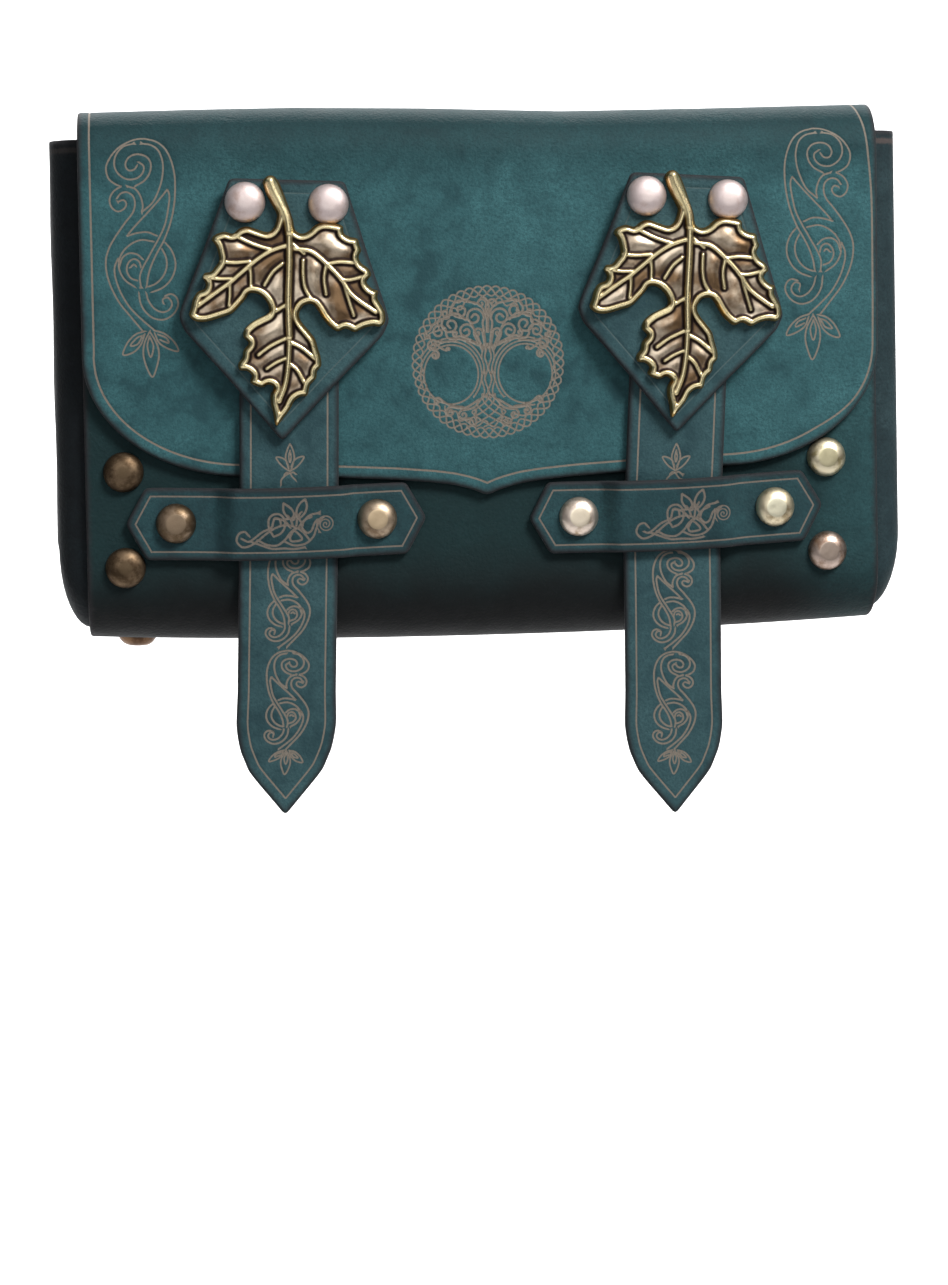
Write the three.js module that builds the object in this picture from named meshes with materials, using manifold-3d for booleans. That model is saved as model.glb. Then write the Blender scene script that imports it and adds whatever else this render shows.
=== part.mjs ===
// A medieval belt pouch of thick leather, in millimetres with +Z up.
// The front faces -Y and +X is to the right seen from the front.
// The origin is the middle of the waist belt that carries the pouch, behind its back panel.
// One hide piece makes the front, base, back, top and flap. Two dished gussets close the ends.

import * as THREE from "three";
import { mergeVertices } from "three/addons/utils/BufferGeometryUtils.js";
import Module from "manifold-3d";

const wasm = await Module();
wasm.setup();

// Pouch body
const pouchHeight = 133;
const pouchDepth = 45;
const beltToTop = 46;
const hideThickness = 2.0;
const touchGap = 0.3;
const frontBaseRadius = 15;
const backBaseRadius = 14;
const backTopRadius = 10;
const frontTopRadius = 12;
const panelTopDrop = 10;

// Flap
const flapRoom = 2.2;
const flapToBase = 42;
const flapCornerWidth = 40;
const flapCornerHeight = 30;
const flapPointDrop = 6.2;

// Gussets
const gussetThickness = 2.0;
const gussetBulge = 8.1;
const gussetCrown = 0.8;
const gussetBendDepth = 7.6;
const gussetBaseDepth = 20;
const gussetTopDrop = 7;
const flangeReach = 17;
const gussetCornerRadius = 3.5;
const gussetCrownInset = 14.4;
const gussetCrownRise = 26;

// Straps, keepers and patches
const strapSpacing = 98;
const strapThickness = 2.0;
const strapWidth = 24.6;
const strapHeadWidth = 27;
const strapHang = 45;
const strapTipLength = 23;
const strapStand = 0.5;
const strapHeadInset = 1.2;
const strapHeadLength = 12;
const strapHeadTaper = 6;
const keeperThickness = 2.0;
const keeperHeight = 18;
const keeperPoint = 5;
const keeperDrop = 11.5;
const keeperSideRoom = 0.6;
const keeperRamp = 6;
const keeperRivetInset = 12.4;
const keeperRivetClear = 1.1;
const keeperBow = 0.8;
const keeperEdgeClear = 13.6;
const patchThickness = 2.2;
const patchTopDrop = 18;
const patchTopWidth = 28;
const patchWidth = 52;
const patchTipClear = 8.6;
const patchFlatWidth = 32;
const patchDroop = 1.2;
const patchRivetSpacing = 20.5;
const patchRivetDrop = 5.8;

// Belt loops
const beltGap = 6;
const beltHeight = 40;
const loopThickness = 2.5;
const loopWidth = 28;
const loopSpacing = 110;
const loopBendRadius = 1.6;
const loopTab = 10;
const loopRampAngle = 62;

// Rivets
const rivetCapRadius = 5;
const rivetCapHeight = 2.9;
const rivetDiscRadius = 2.6;
const rivetShankRadius = 1.5;
const rivetBackRadius = 3.8;
const rivetBackHeight = 1.1;
const shankClearance = 0.25;
const rivetSides = 10;
const drillSides = 8;
const sideRivetInset = 11.4;
const sideRivetHigh = 43.4;
const sideRivetLow = 19.6;
const backRivetDrop = 17;
const backRivetMiddle = 56;
const drillReach = 2;

// Cast leaves
const leafThickness = 1.5;
const leafRelief = 0.8;
const leafRim = 1.3;
const leafShoulder = 0.06;
const leafRivetClear = 0.6;
const veinSink = 0.2;
const veinWidth = 1.5;
const midribWidth = 2;
const stemWidth = 2.6;
const studRadius = 1.75;
const studDrop = 0.09;

// Each side as the maker laid it, as small shifts from an even layout (degrees are clockwise)
const sides = [
  {
    name: "left", sign: -1, rivetShift: 1.9, baseRivet: true,
    patch: 0.3, patchTilt: 2.2, leaf: -0.4, leafTilt: 0,
    strapHead: 0.8, strapKeeper: -0.8, strapTip: -3.2, strapExtra: -1.5,
    keeper: -3.8, keeperTilt: 0,
  },
  {
    name: "right", sign: 1, rivetShift: -1.9, baseRivet: false,
    patch: 2.0, patchTilt: 3.2, leaf: 1.1, leafTilt: 1,
    strapHead: 1.7, strapKeeper: -2.4, strapTip: -2.5, strapExtra: 1.5,
    keeper: -1.1, keeperTilt: -1.5,
  },
];

// Places worked out from the sizes above
const backY = -beltGap / 2;
const frontY = backY - pouchDepth;
const topZ = beltToTop;
const baseZ = topZ - pouchHeight;
const keeperRise = keeperSideRoom + keeperRamp;
const keeperRivetReach = keeperRise + keeperRivetClear + rivetCapRadius;
const keeperRivetSpacing = strapWidth + 2 * keeperRivetReach;
const keeperLength = keeperRivetSpacing + 2 * keeperRivetInset;
const hideWidth = strapSpacing + keeperLength + 2 * keeperEdgeClear;
const halfWidth = hideWidth / 2;
const flapStartZ = topZ - frontTopRadius;
const flapEdgeZ = baseZ + flapToBase;
const flapTopY = frontY - flapRoom - hideThickness;
const flapDrop = flapStartZ - flapEdgeZ + flapPointDrop;
const flapLean = Math.atan((flapRoom - touchGap) / flapDrop);
const keeperZ = flapEdgeZ - keeperDrop;
const patchTopZ = topZ - patchTopDrop;
const patchLength = patchTopZ - flapEdgeZ - patchTipClear;
const strapTipZ = baseZ - strapHang;
const patchFaceY = -touchGap * 2 - strapThickness - patchThickness;
const leafDrop = patchRivetDrop + rivetCapRadius + leafRivetClear + patchLength * leafShoulder;
const baseRivetY = backY - backBaseRadius - rivetBackRadius - touchGap;
const edgeGrip = hideThickness + touchGap + gussetThickness;
const holeRadius = rivetShankRadius + shankClearance;

// Materials
function finish(color, roughness, metalness) {
  return new THREE.MeshStandardMaterial({ color, roughness, metalness });
}
const tealLeather = finish(0x2d5557, 0.62, 0);
const darkLeather = finish(0x1c2a2e, 0.66, 0);
const strapLeather = finish(0x33595d, 0.6, 0);
const castBrass = finish(0xa88a4a, 0.36, 1);
const rivetSilver = finish(0xc9b8b0, 0.3, 1);
const rivetBrass = finish(0xa8946e, 0.36, 1);

// Turns rows of bare values into rows with named columns
function table(columns, rows) {
  return rows.map((row) => Object.fromEntries(columns.map((name, i) => [name, row[i]])));
}

function mix(a, b, share) {
  return a + (b - a) * share;
}

function smooth(share) {
  const t = Math.min(1, Math.max(0, share));
  return t * t * (3 - 2 * t);
}

// Collects corners and four-sided faces into one closed surface, leaving out faces of no area
class Skin {
  constructor() {
    this.keys = new Map();
    this.points = [];
    this.faces = [];
  }

  corner(p) {
    const key = [p.x, p.y, p.z].map((v) => Math.round(v * 1e4)).join(" ");
    if (!this.keys.has(key)) {
      this.keys.set(key, this.points.length / 3);
      this.points.push(p.x, p.y, p.z);
    }
    return this.keys.get(key);
  }

  triangle(a, b, c) {
    if (a !== b && b !== c && c !== a) {
      this.faces.push(a, b, c);
    }
  }

  quad(p, q, r, s) {
    const [a, b, c, d] = [p, q, r, s].map((corner) => this.corner(corner));
    this.triangle(a, b, c);
    this.triangle(a, c, d);
  }

  geometry() {
    const geometry = new THREE.BufferGeometry();
    geometry.setAttribute("position", new THREE.Float32BufferAttribute(this.points, 3));
    geometry.setIndex(this.faces);
    return geometry;
  }
}

// A closed slab between two grids of the same shape
function slab(outer, inner) {
  const skin = new Skin();
  const rows = outer.length - 1;
  const columns = outer[0].length - 1;
  for (let i = 0; i < rows; i += 1) {
    for (let j = 0; j < columns; j += 1) {
      skin.quad(outer[i][j], outer[i + 1][j], outer[i + 1][j + 1], outer[i][j + 1]);
      skin.quad(inner[i][j], inner[i][j + 1], inner[i + 1][j + 1], inner[i + 1][j]);
    }
    skin.quad(outer[i + 1][0], outer[i][0], inner[i][0], inner[i + 1][0]);
    skin.quad(outer[i][columns], outer[i + 1][columns], inner[i + 1][columns], inner[i][columns]);
  }
  for (let j = 0; j < columns; j += 1) {
    skin.quad(outer[0][j], outer[0][j + 1], inner[0][j + 1], inner[0][j]);
    skin.quad(outer[rows][j + 1], outer[rows][j], inner[rows][j], inner[rows][j + 1]);
  }
  return skin.geometry();
}

function signedVolume(points, faces) {
  const [a, b, c] = [new THREE.Vector3(), new THREE.Vector3(), new THREE.Vector3()];
  let volume = 0;
  for (let i = 0; i < faces.length; i += 3) {
    a.fromArray(points, faces[i] * 3);
    b.fromArray(points, faces[i + 1] * 3);
    c.fromArray(points, faces[i + 2] * 3);
    volume += a.dot(b.cross(c)) / 6;
  }
  return volume;
}

// A closed mesh as a solid that can be joined and cut, always facing out
function solidOf(geometry) {
  const bare = geometry.clone();
  bare.deleteAttribute("normal");
  bare.deleteAttribute("uv");
  const merged = mergeVertices(bare, 1e-4);
  const vertProperties = new Float32Array(merged.attributes.position.array);
  const triVerts = new Uint32Array(merged.index.array);
  if (signedVolume(vertProperties, triVerts) < 0) {
    for (let i = 0; i < triVerts.length; i += 3) {
      [triVerts[i], triVerts[i + 1]] = [triVerts[i + 1], triVerts[i]];
    }
  }
  return new wasm.Manifold(new wasm.Mesh({ numProp: 3, vertProperties, triVerts }));
}

function geometryOf(solid) {
  const mesh = solid.getMesh();
  const geometry = new THREE.BufferGeometry();
  geometry.setAttribute("position", new THREE.BufferAttribute(new Float32Array(mesh.vertProperties), 3));
  geometry.setIndex(new THREE.BufferAttribute(new Uint32Array(mesh.triVerts), 1));
  geometry.computeVertexNormals();
  return geometry;
}

function joined(solids) {
  return solids.reduce((sum, solid) => sum.add(solid));
}

function cutBy(solid, cutters) {
  return cutters.reduce((rest, cutter) => rest.subtract(cutter), solid);
}

const pouch = new THREE.Group();

// The flap's own frame: its origin is where the flap starts down, and it leans back as the flap does
const flapFrame = new THREE.Group();
flapFrame.position.set(0, flapTopY, flapStartZ);
flapFrame.rotation.x = flapLean;
flapFrame.updateMatrixWorld(true);
pouch.add(flapFrame);

function place(parent, name, solid, material) {
  const mesh = new THREE.Mesh(geometryOf(solid), material);
  mesh.name = name;
  parent.add(mesh);
  return mesh;
}

// A straight hole along Y that reaches a little past two depths
function borehole(x, yFrom, yTo, z, radius = holeRadius) {
  const hole = new THREE.CylinderGeometry(radius, radius, yTo - yFrom + drillReach * 2, drillSides);
  hole.translate(x, (yFrom + yTo) / 2, z);
  return hole;
}

function drill(x, yFrom, yTo, z) {
  return solidOf(borehole(x, yFrom, yTo, z));
}

// A rivet along +Y: domed cap with a flat centre, shank and flat back washer, in one piece.
// Height zero is the face that the cap sits on, and grip is the leather between cap and washer.
function rivet(grip) {
  const capSeat = touchGap;
  const washer = -grip - touchGap;
  const profile = [
    [0, washer - rivetBackHeight],
    [rivetBackRadius * 0.8, washer - rivetBackHeight],
    [rivetBackRadius, washer],
    [rivetShankRadius, washer],
    [rivetShankRadius, capSeat],
    [rivetCapRadius, capSeat],
    [rivetCapRadius * 0.86, capSeat + rivetCapHeight * 0.55],
    [rivetDiscRadius, capSeat + rivetCapHeight],
    [0, capSeat + rivetCapHeight],
  ];
  const points = profile.map(([radius, height]) => new THREE.Vector2(radius, height));
  return solidOf(new THREE.LatheGeometry(points, rivetSides));
}

const facings = { front: Math.PI, back: 0, down: -Math.PI / 2 };

function placeRivet(parent, name, x, y, z, facing, grip, metal = rivetBrass) {
  const mesh = place(parent, name, rivet(grip), metal);
  mesh.position.set(x, y, z);
  mesh.rotation.x = facings[facing];
}

// A path in the YZ plane made of runs and bends, followed along the outer face of the leather.
// A positive bend turns left, towards the inner side.
function foldPath(start, rows) {
  const legs = [];
  let from = 0;
  let { y, z, heading } = start;
  for (const row of rows) {
    if (row.run > 0) {
      legs.push({ from, length: row.run, y, z, heading, turn: 0, radius: 0, steps: 1 });
      from += row.run;
      y += Math.cos(heading) * row.run;
      z += Math.sin(heading) * row.run;
    }
    if (row.bend) {
      const turn = row.bend;
      const side = Math.sign(turn);
      const length = row.radius * Math.abs(turn);
      legs.push({ from, length, y, z, heading, turn, radius: row.radius, steps: row.steps });
      y += (Math.sin(heading + turn) - Math.sin(heading)) * row.radius * side;
      z += (Math.cos(heading) - Math.cos(heading + turn)) * row.radius * side;
      heading += turn;
      from += length;
    }
  }
  const stations = [0];
  for (const leg of legs) {
    for (let i = 1; i <= leg.steps; i += 1) {
      stations.push(leg.from + (leg.length * i) / leg.steps);
    }
  }
  function at(s, depth) {
    const leg = legs.findLast((item) => item.from <= s + 1e-9);
    const along = s - leg.from;
    const heading = leg.heading + (leg.turn * along) / leg.length;
    const side = Math.sign(leg.turn);
    const straight = leg.turn ? 0 : along;
    const shift = leg.radius * side;
    return {
      y: leg.y + Math.cos(leg.heading) * straight
        + (Math.sin(heading) - Math.sin(leg.heading)) * shift - Math.sin(heading) * depth,
      z: leg.z + Math.sin(leg.heading) * straight
        + (Math.cos(leg.heading) - Math.cos(heading)) * shift + Math.cos(heading) * depth,
    };
  }
  return { at, stations, length: from };
}

// Lower edge of the flap: rounded corners, a gently falling middle and a small centre point
const flapPoint = table(["across", "fall"], [
  [1, 0],
  [0.62, 0.14],
  [0.38, 0.27],
  [0.22, 0.41],
  [0.14, 0.52],
  [0.07, 0.72],
  [0, 1],
]);

function flapEdge(x) {
  const out = Math.abs(x);
  const straight = halfWidth - flapCornerWidth;
  if (out > straight) {
    const share = Math.min(1, (out - straight) / flapCornerWidth);
    return flapEdgeZ + flapCornerHeight * (1 - Math.sqrt(1 - share * share));
  }
  const share = out / straight;
  const row = flapPoint.findIndex((item) => item.across <= share);
  const low = flapPoint[Math.max(row, 1)];
  const high = flapPoint[Math.max(row, 1) - 1];
  const between = (share - low.across) / (high.across - low.across);
  return flapEdgeZ - flapPointDrop * mix(low.fall, high.fall, between);
}

// Columns across the hide: the rounded corners, then the rows of the centre point
function hideColumns() {
  const straight = halfWidth - flapCornerWidth;
  const cornerShares = [1, 0.975, 0.9, 0.78, 0.6, 0.35];
  const right = cornerShares.map((share) => straight + flapCornerWidth * share);
  for (const row of flapPoint) {
    right.push(straight * row.across);
  }
  const left = right.slice(0, -1).map((x) => -x);
  return left.concat(right.reverse());
}

function makeHide() {
  const quarter = Math.PI / 2;
  const panelTop = topZ - panelTopDrop;
  const topRun = -backTopRadius - frontTopRadius + backY - flapTopY;
  const path = foldPath({ y: frontY, z: panelTop, heading: -quarter }, table(
    ["run", "bend", "radius", "steps"],
    [
      [panelTop - baseZ - frontBaseRadius, quarter, frontBaseRadius, 5],
      [pouchDepth - frontBaseRadius - backBaseRadius, quarter, backBaseRadius, 4],
      [pouchHeight - backBaseRadius - backTopRadius, quarter, backTopRadius, 4],
      [topRun, quarter + flapLean, frontTopRadius, 5],
      [flapDrop, 0, 0, 1],
    ],
  ));
  const columns = hideColumns();
  const fixed = path.stations.slice(0, -1);
  const flapStart = fixed.at(-1);
  const flapShares = [0.5, 1];
  const grids = [0, hideThickness].map((depth) => {
    const rows = fixed.map((s) => columns.map((x) => ({ x, ...path.at(s, depth) })));
    for (const share of flapShares) {
      rows.push(columns.map((x) => {
        const reach = (flapStartZ - flapEdge(x)) / Math.cos(flapLean);
        return { x, ...path.at(flapStart + reach * share, depth) };
      }));
    }
    return rows;
  });
  return solidOf(slab(grids[0], grids[1]));
}

// The gusset is a dish: flanges inside the hide on three sides, a bend, and a bulging end wall
function makeGusset(sign) {
  const flangeY = frontY + hideThickness + touchGap;
  const flangeBackY = backY - hideThickness - touchGap;
  const flangeZ = baseZ + hideThickness + touchGap;
  const mouthZ = topZ - gussetTopDrop;
  const mouthBackZ = Math.min(mouthZ, topZ - backTopRadius);
  const cornerSteps = 4;
  const bendAngles = [0, 25, 50, 72, 90].map((angle) => THREE.MathUtils.degToRad(angle));

  function outline(inset, rise, out) {
    const left = flangeY + inset;
    const right = flangeBackY - inset;
    const floor = flangeZ + rise;
    const radii = [frontBaseRadius, backBaseRadius].map(
      (radius) => Math.max(gussetCornerRadius, radius - hideThickness - touchGap - inset),
    );
    const x = sign * (halfWidth + out);
    const points = [{ x, y: left, z: mouthZ }];
    for (let i = 0; i <= cornerSteps; i += 1) {
      const angle = (Math.PI / 2) * (i / cornerSteps);
      points.push({
        x, y: left + radii[0] * (1 - Math.cos(angle)), z: floor + radii[0] * (1 - Math.sin(angle)),
      });
    }
    for (let i = 0; i <= cornerSteps; i += 1) {
      const angle = (Math.PI / 2) * (1 - i / cornerSteps);
      points.push({
        x, y: right - radii[1] * (1 - Math.cos(angle)), z: floor + radii[1] * (1 - Math.sin(angle)),
      });
    }
    points.push({ x, y: right, z: mouthBackZ });
    return points;
  }

  const wall = gussetBulge - gussetCrown;
  function sheet(depth) {
    const rows = [outline(depth, depth, -flangeReach)];
    for (const angle of bendAngles) {
      const turn = 1 - Math.cos(angle);
      rows.push(outline(
        depth + (gussetBendDepth - depth) * turn,
        depth + (gussetBaseDepth - depth) * turn,
        (wall - depth) * Math.sin(angle),
      ));
    }
    rows.push(outline(gussetCrownInset, gussetCrownRise, gussetBulge - depth));
    return rows;
  }

  const outer = sheet(0);
  const inner = sheet(gussetThickness);
  const skin = new Skin();
  const rows = outer.length - 1;
  const last = outer[0].length - 1;
  for (let i = 0; i < last; i += 1) {
    for (let k = 0; k < rows; k += 1) {
      skin.quad(outer[k][i], outer[k + 1][i], outer[k + 1][i + 1], outer[k][i + 1]);
      skin.quad(inner[k][i], inner[k][i + 1], inner[k + 1][i + 1], inner[k + 1][i]);
    }
    skin.quad(outer[0][i], outer[0][i + 1], inner[0][i + 1], inner[0][i]);
  }
  for (let k = 0; k < rows; k += 1) {
    skin.quad(outer[k + 1][0], outer[k][0], inner[k][0], inner[k + 1][0]);
    skin.quad(outer[k][last], outer[k + 1][last], inner[k + 1][last], inner[k][last]);
  }
  const [crown, hollow] = [outer[rows], inner[rows]];
  for (let i = 0; i < (last - 1) / 2; i += 1) {
    skin.quad(crown[i + 1], crown[i], crown[last - i], crown[last - i - 1]);
    skin.quad(hollow[i], hollow[i + 1], hollow[last - i - 1], hollow[last - i]);
  }
  skin.quad(crown[last], crown[0], hollow[0], hollow[last]);
  return solidOf(skin.geometry());
}

// Height of the flap's outer face, and of the strap's inner face, at height z
function flapFaceY(z) {
  return flapTopY + (flapStartZ - z) * Math.tan(flapLean);
}

const dipStart = flapEdgeZ - 0.8;
const dipEnd = keeperZ - 1.2;

function strapInnerY(z) {
  const onFlap = flapFaceY(Math.max(z, dipStart)) - touchGap;
  const nearPanel = frontY - strapStand;
  return mix(onFlap, nearPanel, smooth((dipStart - z) / (dipStart - dipEnd)));
}

// Widths of the strap below its head, as shares of the length of its pointed end
const strapPoint = table(["down", "width"], [
  [0, 1.02],
  [0.28, 0.93],
  [0.5, 0.76],
  [0.6, 0.62],
  [1, 0],
]);

function makeStrap(side) {
  const centre = side.sign * strapSpacing / 2;
  const headZ = patchTopZ - strapHeadInset;
  const rivetZ = patchTopZ - patchRivetDrop;
  const tipZ = strapTipZ - side.strapExtra;
  const shoulderZ = tipZ + strapTipLength;
  function centreLine(z) {
    if (z > keeperZ) {
      return centre + mix(side.strapKeeper, side.strapHead, (z - keeperZ) / (rivetZ - keeperZ));
    }
    return centre + mix(side.strapKeeper, side.strapTip, (keeperZ - z) / (keeperZ - tipZ));
  }
  const rows = [
    { z: headZ, width: strapHeadWidth },
    { z: headZ - strapHeadLength, width: strapHeadWidth },
    { z: headZ - strapHeadLength - strapHeadTaper, width: strapWidth },
    { z: dipStart, width: strapWidth },
  ];
  const dips = 4;
  for (let i = 1; i <= dips; i += 1) {
    rows.push({ z: mix(dipStart, dipEnd, i / dips), width: strapWidth });
  }
  for (const row of strapPoint) {
    rows.push({ z: shoulderZ - strapTipLength * row.down, width: strapWidth * row.width });
  }
  function corners(z, width, y) {
    return [-1, 1].map((edge) => ({ x: centreLine(z) + (edge * width) / 2, y, z }));
  }
  const outer = rows.map(({ z, width }) => corners(z, width, strapInnerY(z) - strapThickness));
  const inner = rows.map(({ z, width }) => corners(z, width, strapInnerY(z)));
  return solidOf(slab(outer, inner));
}

// The keeper lies flat on the panel at its pointed ends and arches over the strap
function makeKeeper(side, strapShift) {
  const half = keeperLength / 2;
  const strapEdge = strapWidth / 2 + keeperSideRoom;
  const capEdge = keeperRivetSpacing / 2 - rivetCapRadius - touchGap;
  const archLeft = strapShift - strapEdge;
  const archRight = strapShift + strapEdge;
  const rampLeft = Math.min(keeperRamp, archLeft + capEdge);
  const rampRight = Math.min(keeperRamp, capEdge - archRight);
  const rise = keeperHeight / 2;
  const seatY = frontY - touchGap;
  const liftTop = seatY - (strapInnerY(keeperZ + rise) - strapThickness - touchGap);
  const liftBase = seatY - (strapInnerY(keeperZ - rise) - strapThickness - touchGap);
  function arch(x) {
    const fromLeft = (x - archLeft + rampLeft) / rampLeft;
    const fromRight = (archRight + rampRight - x) / rampRight;
    return smooth(Math.min(fromLeft, fromRight));
  }
  const rampShares = [0, 0.25, 0.5, 0.75, 1];
  const stations = [-half, -half + keeperPoint]
    .concat(rampShares.map((share) => archLeft - rampLeft * (1 - share)))
    .concat(rampShares.map((share) => archRight + rampRight * share))
    .concat([half - keeperPoint, half]);
  const grids = [keeperThickness, 0].map((thickness) => stations.map((x) => {
    const height = Math.abs(x) >= half - 1e-6 ? 0 : rise;
    return [-1, 1].map((edge) => {
      const lift = mix(liftBase, liftTop, (edge + 1) / 2) * arch(x);
      return { x, y: seatY - lift - thickness, z: edge * height - keeperBow * arch(x) };
    });
  }));
  return solidOf(slab(grids[0], grids[1]));
}

// Half widths of the patch on the way down, as shares of its length and width
const patchRows = table(["down", "width"], [
  [0, 0.515],
  [0.03, 0.54],
  [0.28, 0.78],
  [0.49, 0.972],
  [0.53, 1],
  [0.57, 0.965],
  [0.78, 0.49],
  [1, 0],
]);

// Drawn from its top centre in the flap's frame, drooping at the sides of the strap below it
function makePatch() {
  const flatHalf = patchFlatWidth / 2;
  const across = [-1, -0.8, -0.6, 0.6, 0.8, 1];
  const topScale = patchTopWidth / (patchWidth * patchRows[0].width);
  const grids = [0, patchThickness].map((thickness) => patchRows.map((row) => {
    const narrow = mix(topScale, 1, Math.min(1, row.down / 0.3));
    const half = (patchWidth / 2) * row.width * narrow;
    return across.map((share) => {
      const x = half * share;
      const droop = patchDroop * smooth((Math.abs(x) - flatHalf) / (patchWidth / 2 - flatHalf));
      return { x, y: patchFaceY + thickness + droop, z: -patchLength * row.down };
    });
  }));
  return solidOf(slab(grids[0], grids[1]));
}

// How far behind its start a lobe's midrib begins, as a share of the lobe's length
const lobeHeel = -0.06;

// The cast leaf has three lobes. Each lobe runs along its own axis, and its teeth stand off it,
// as shares of the lobe's length, on the outer and the inner side.
const leafLobes = [
  {
    from: [0, 0], turn: -39.9, length: 0.485,
    outer: table(["at", "reach"], [
      [0.15, 0.285], [0.27, 0.355], [0.33, 0.315], [0.45, 0.34],
      [0.52, 0.26], [0.66, 0.225], [0.7, 0.15], [0.82, 0.14],
    ]),
    inner: table(["at", "reach"], [
      [0.1, 0.28], [0.42, 0.31], [0.52, 0.28], [0.77, 0.31], [0.88, 0.235], [0.98, 0.07],
    ]),
  },
  {
    from: [-0.004, 0], turn: 217.9, length: 0.455,
    outer: table(["at", "reach"], [
      [0.1, 0.24], [0.49, 0.15], [0.56, 0.168], [0.75, 0.19], [0.94, 0.11],
    ]),
    inner: table(["at", "reach"], [
      [0.144, 0.285], [0.28, 0.325], [0.39, 0.41], [0.47, 0.28],
      [0.67, 0.215], [0.72, 0.145], [0.82, 0.138],
    ]),
  },
  {
    from: [0.003, -0.228], turn: 262.9, length: 0.478,
    outer: table(["at", "reach"], [
      [-0.2, 0.1], [0.087, 0.089], [0.28, 0.237], [0.465, 0.304], [0.54, 0.275],
      [0.6, 0.278], [0.735, 0.22], [0.76, 0.15], [0.86, 0.095],
    ]),
    inner: table(["at", "reach"], [
      [-0.2, 0.1], [0.06, 0.14], [0.142, 0.2], [0.257, 0.317], [0.357, 0.275],
      [0.54, 0.336], [0.6, 0.24], [0.68, 0.218], [0.72, 0.07], [0.82, 0.059],
    ]),
  },
];

function lobePoint(lobe, at, reach) {
  const turn = THREE.MathUtils.degToRad(lobe.turn);
  const length = lobe.length * patchLength;
  const along = new THREE.Vector2(Math.cos(turn), Math.sin(turn));
  const off = new THREE.Vector2(-along.y, along.x);
  const start = new THREE.Vector2(lobe.from[0], lobe.from[1]).multiplyScalar(patchLength);
  return start.addScaledVector(along, at * length).addScaledVector(off, reach * length);
}

// The outline of a lobe, drawn in by an inset; the pointed tip draws back by more than the sides
function lobeShape(lobe, inset) {
  const step = inset / (lobe.length * patchLength);
  const tip = 1 - step * 2.2;
  const least = 0.02;
  function side(rows, sign) {
    return rows.map((row) => {
      const reach = Math.max(least, row.reach - step);
      return lobePoint(lobe, Math.min(row.at, tip), sign * reach);
    });
  }
  const heel = lobe.outer[0].at >= 0 ? [lobePoint(lobe, lobeHeel, 0)] : [];
  const outer = side(lobe.outer, 1);
  const inner = side(lobe.inner, -1).reverse();
  return new THREE.Shape([...heel, ...outer, lobePoint(lobe, tip, 0), ...inner]);
}

// A flat shape as a plate whose back lies at one height and whose face at another, facing -Y
function plate(shape, back, face) {
  const geometry = new THREE.ExtrudeGeometry(shape, { depth: face - back, bevelEnabled: false });
  geometry.translate(0, 0, back);
  geometry.rotateX(Math.PI / 2);
  return solidOf(geometry);
}

// A rib from a to b that narrows to half its width
function bar(a, b, width, back, face) {
  const along = b.clone().sub(a).normalize();
  const off = new THREE.Vector2(-along.y, along.x).multiplyScalar(width / 2);
  const corners = [
    a.clone().add(off),
    a.clone().sub(off),
    b.clone().addScaledVector(off, -0.5),
    b.clone().addScaledVector(off, 0.5),
  ];
  return plate(new THREE.Shape(corners), back, face);
}

function makeLeaf() {
  const face = leafThickness + leafRelief;
  const ribBack = leafThickness / 2;
  const stem = new THREE.QuadraticBezierCurve(
    new THREE.Vector2(-0.056, 0.24).multiplyScalar(patchLength),
    new THREE.Vector2(-0.038, 0.13).multiplyScalar(patchLength),
    new THREE.Vector2(0.004, 0.02).multiplyScalar(patchLength),
  ).getPoints(4);
  const plates = leafLobes.map((lobe) => plate(lobeShape(lobe, 0), 0, face));
  const hollows = leafLobes.map((lobe) => plate(lobeShape(lobe, leafRim), leafThickness, face + 1));
  const ribs = [];
  for (let i = 1; i < stem.length; i += 1) {
    ribs.push(bar(stem[i - 1], stem[i], stemWidth, 0, face));
  }
  for (const lobe of leafLobes) {
    const heel = lobePoint(lobe, lobeHeel, 0);
    ribs.push(bar(heel, lobePoint(lobe, 0.97, 0), midribWidth, ribBack, face - veinSink / 2));
    for (const [rows, sign] of [[lobe.outer, 1], [lobe.inner, -1]]) {
      for (const row of rows.filter((item) => item.reach > 0.22 && item.at > 0.12)) {
        const root = lobePoint(lobe, row.at - row.reach * 0.6, 0);
        const tip = lobePoint(lobe, row.at, sign * row.reach * 0.82);
        ribs.push(bar(root, tip, veinWidth, ribBack, face - veinSink));
      }
    }
  }
  const heart = lobePoint(leafLobes[0], lobeHeel / 2, 0);
  ribs.push(bar(heart, lobePoint(leafLobes[2], 0.2, 0), midribWidth, ribBack, face));
  const studEnd = patchThickness + strapThickness;
  const studZ = -patchLength * studDrop;
  const stud = borehole(0, drillReach - ribBack, studEnd - drillReach, studZ, studRadius);
  return joined([cutBy(joined(plates), hollows), ...ribs, solidOf(stud)]);
}

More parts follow.
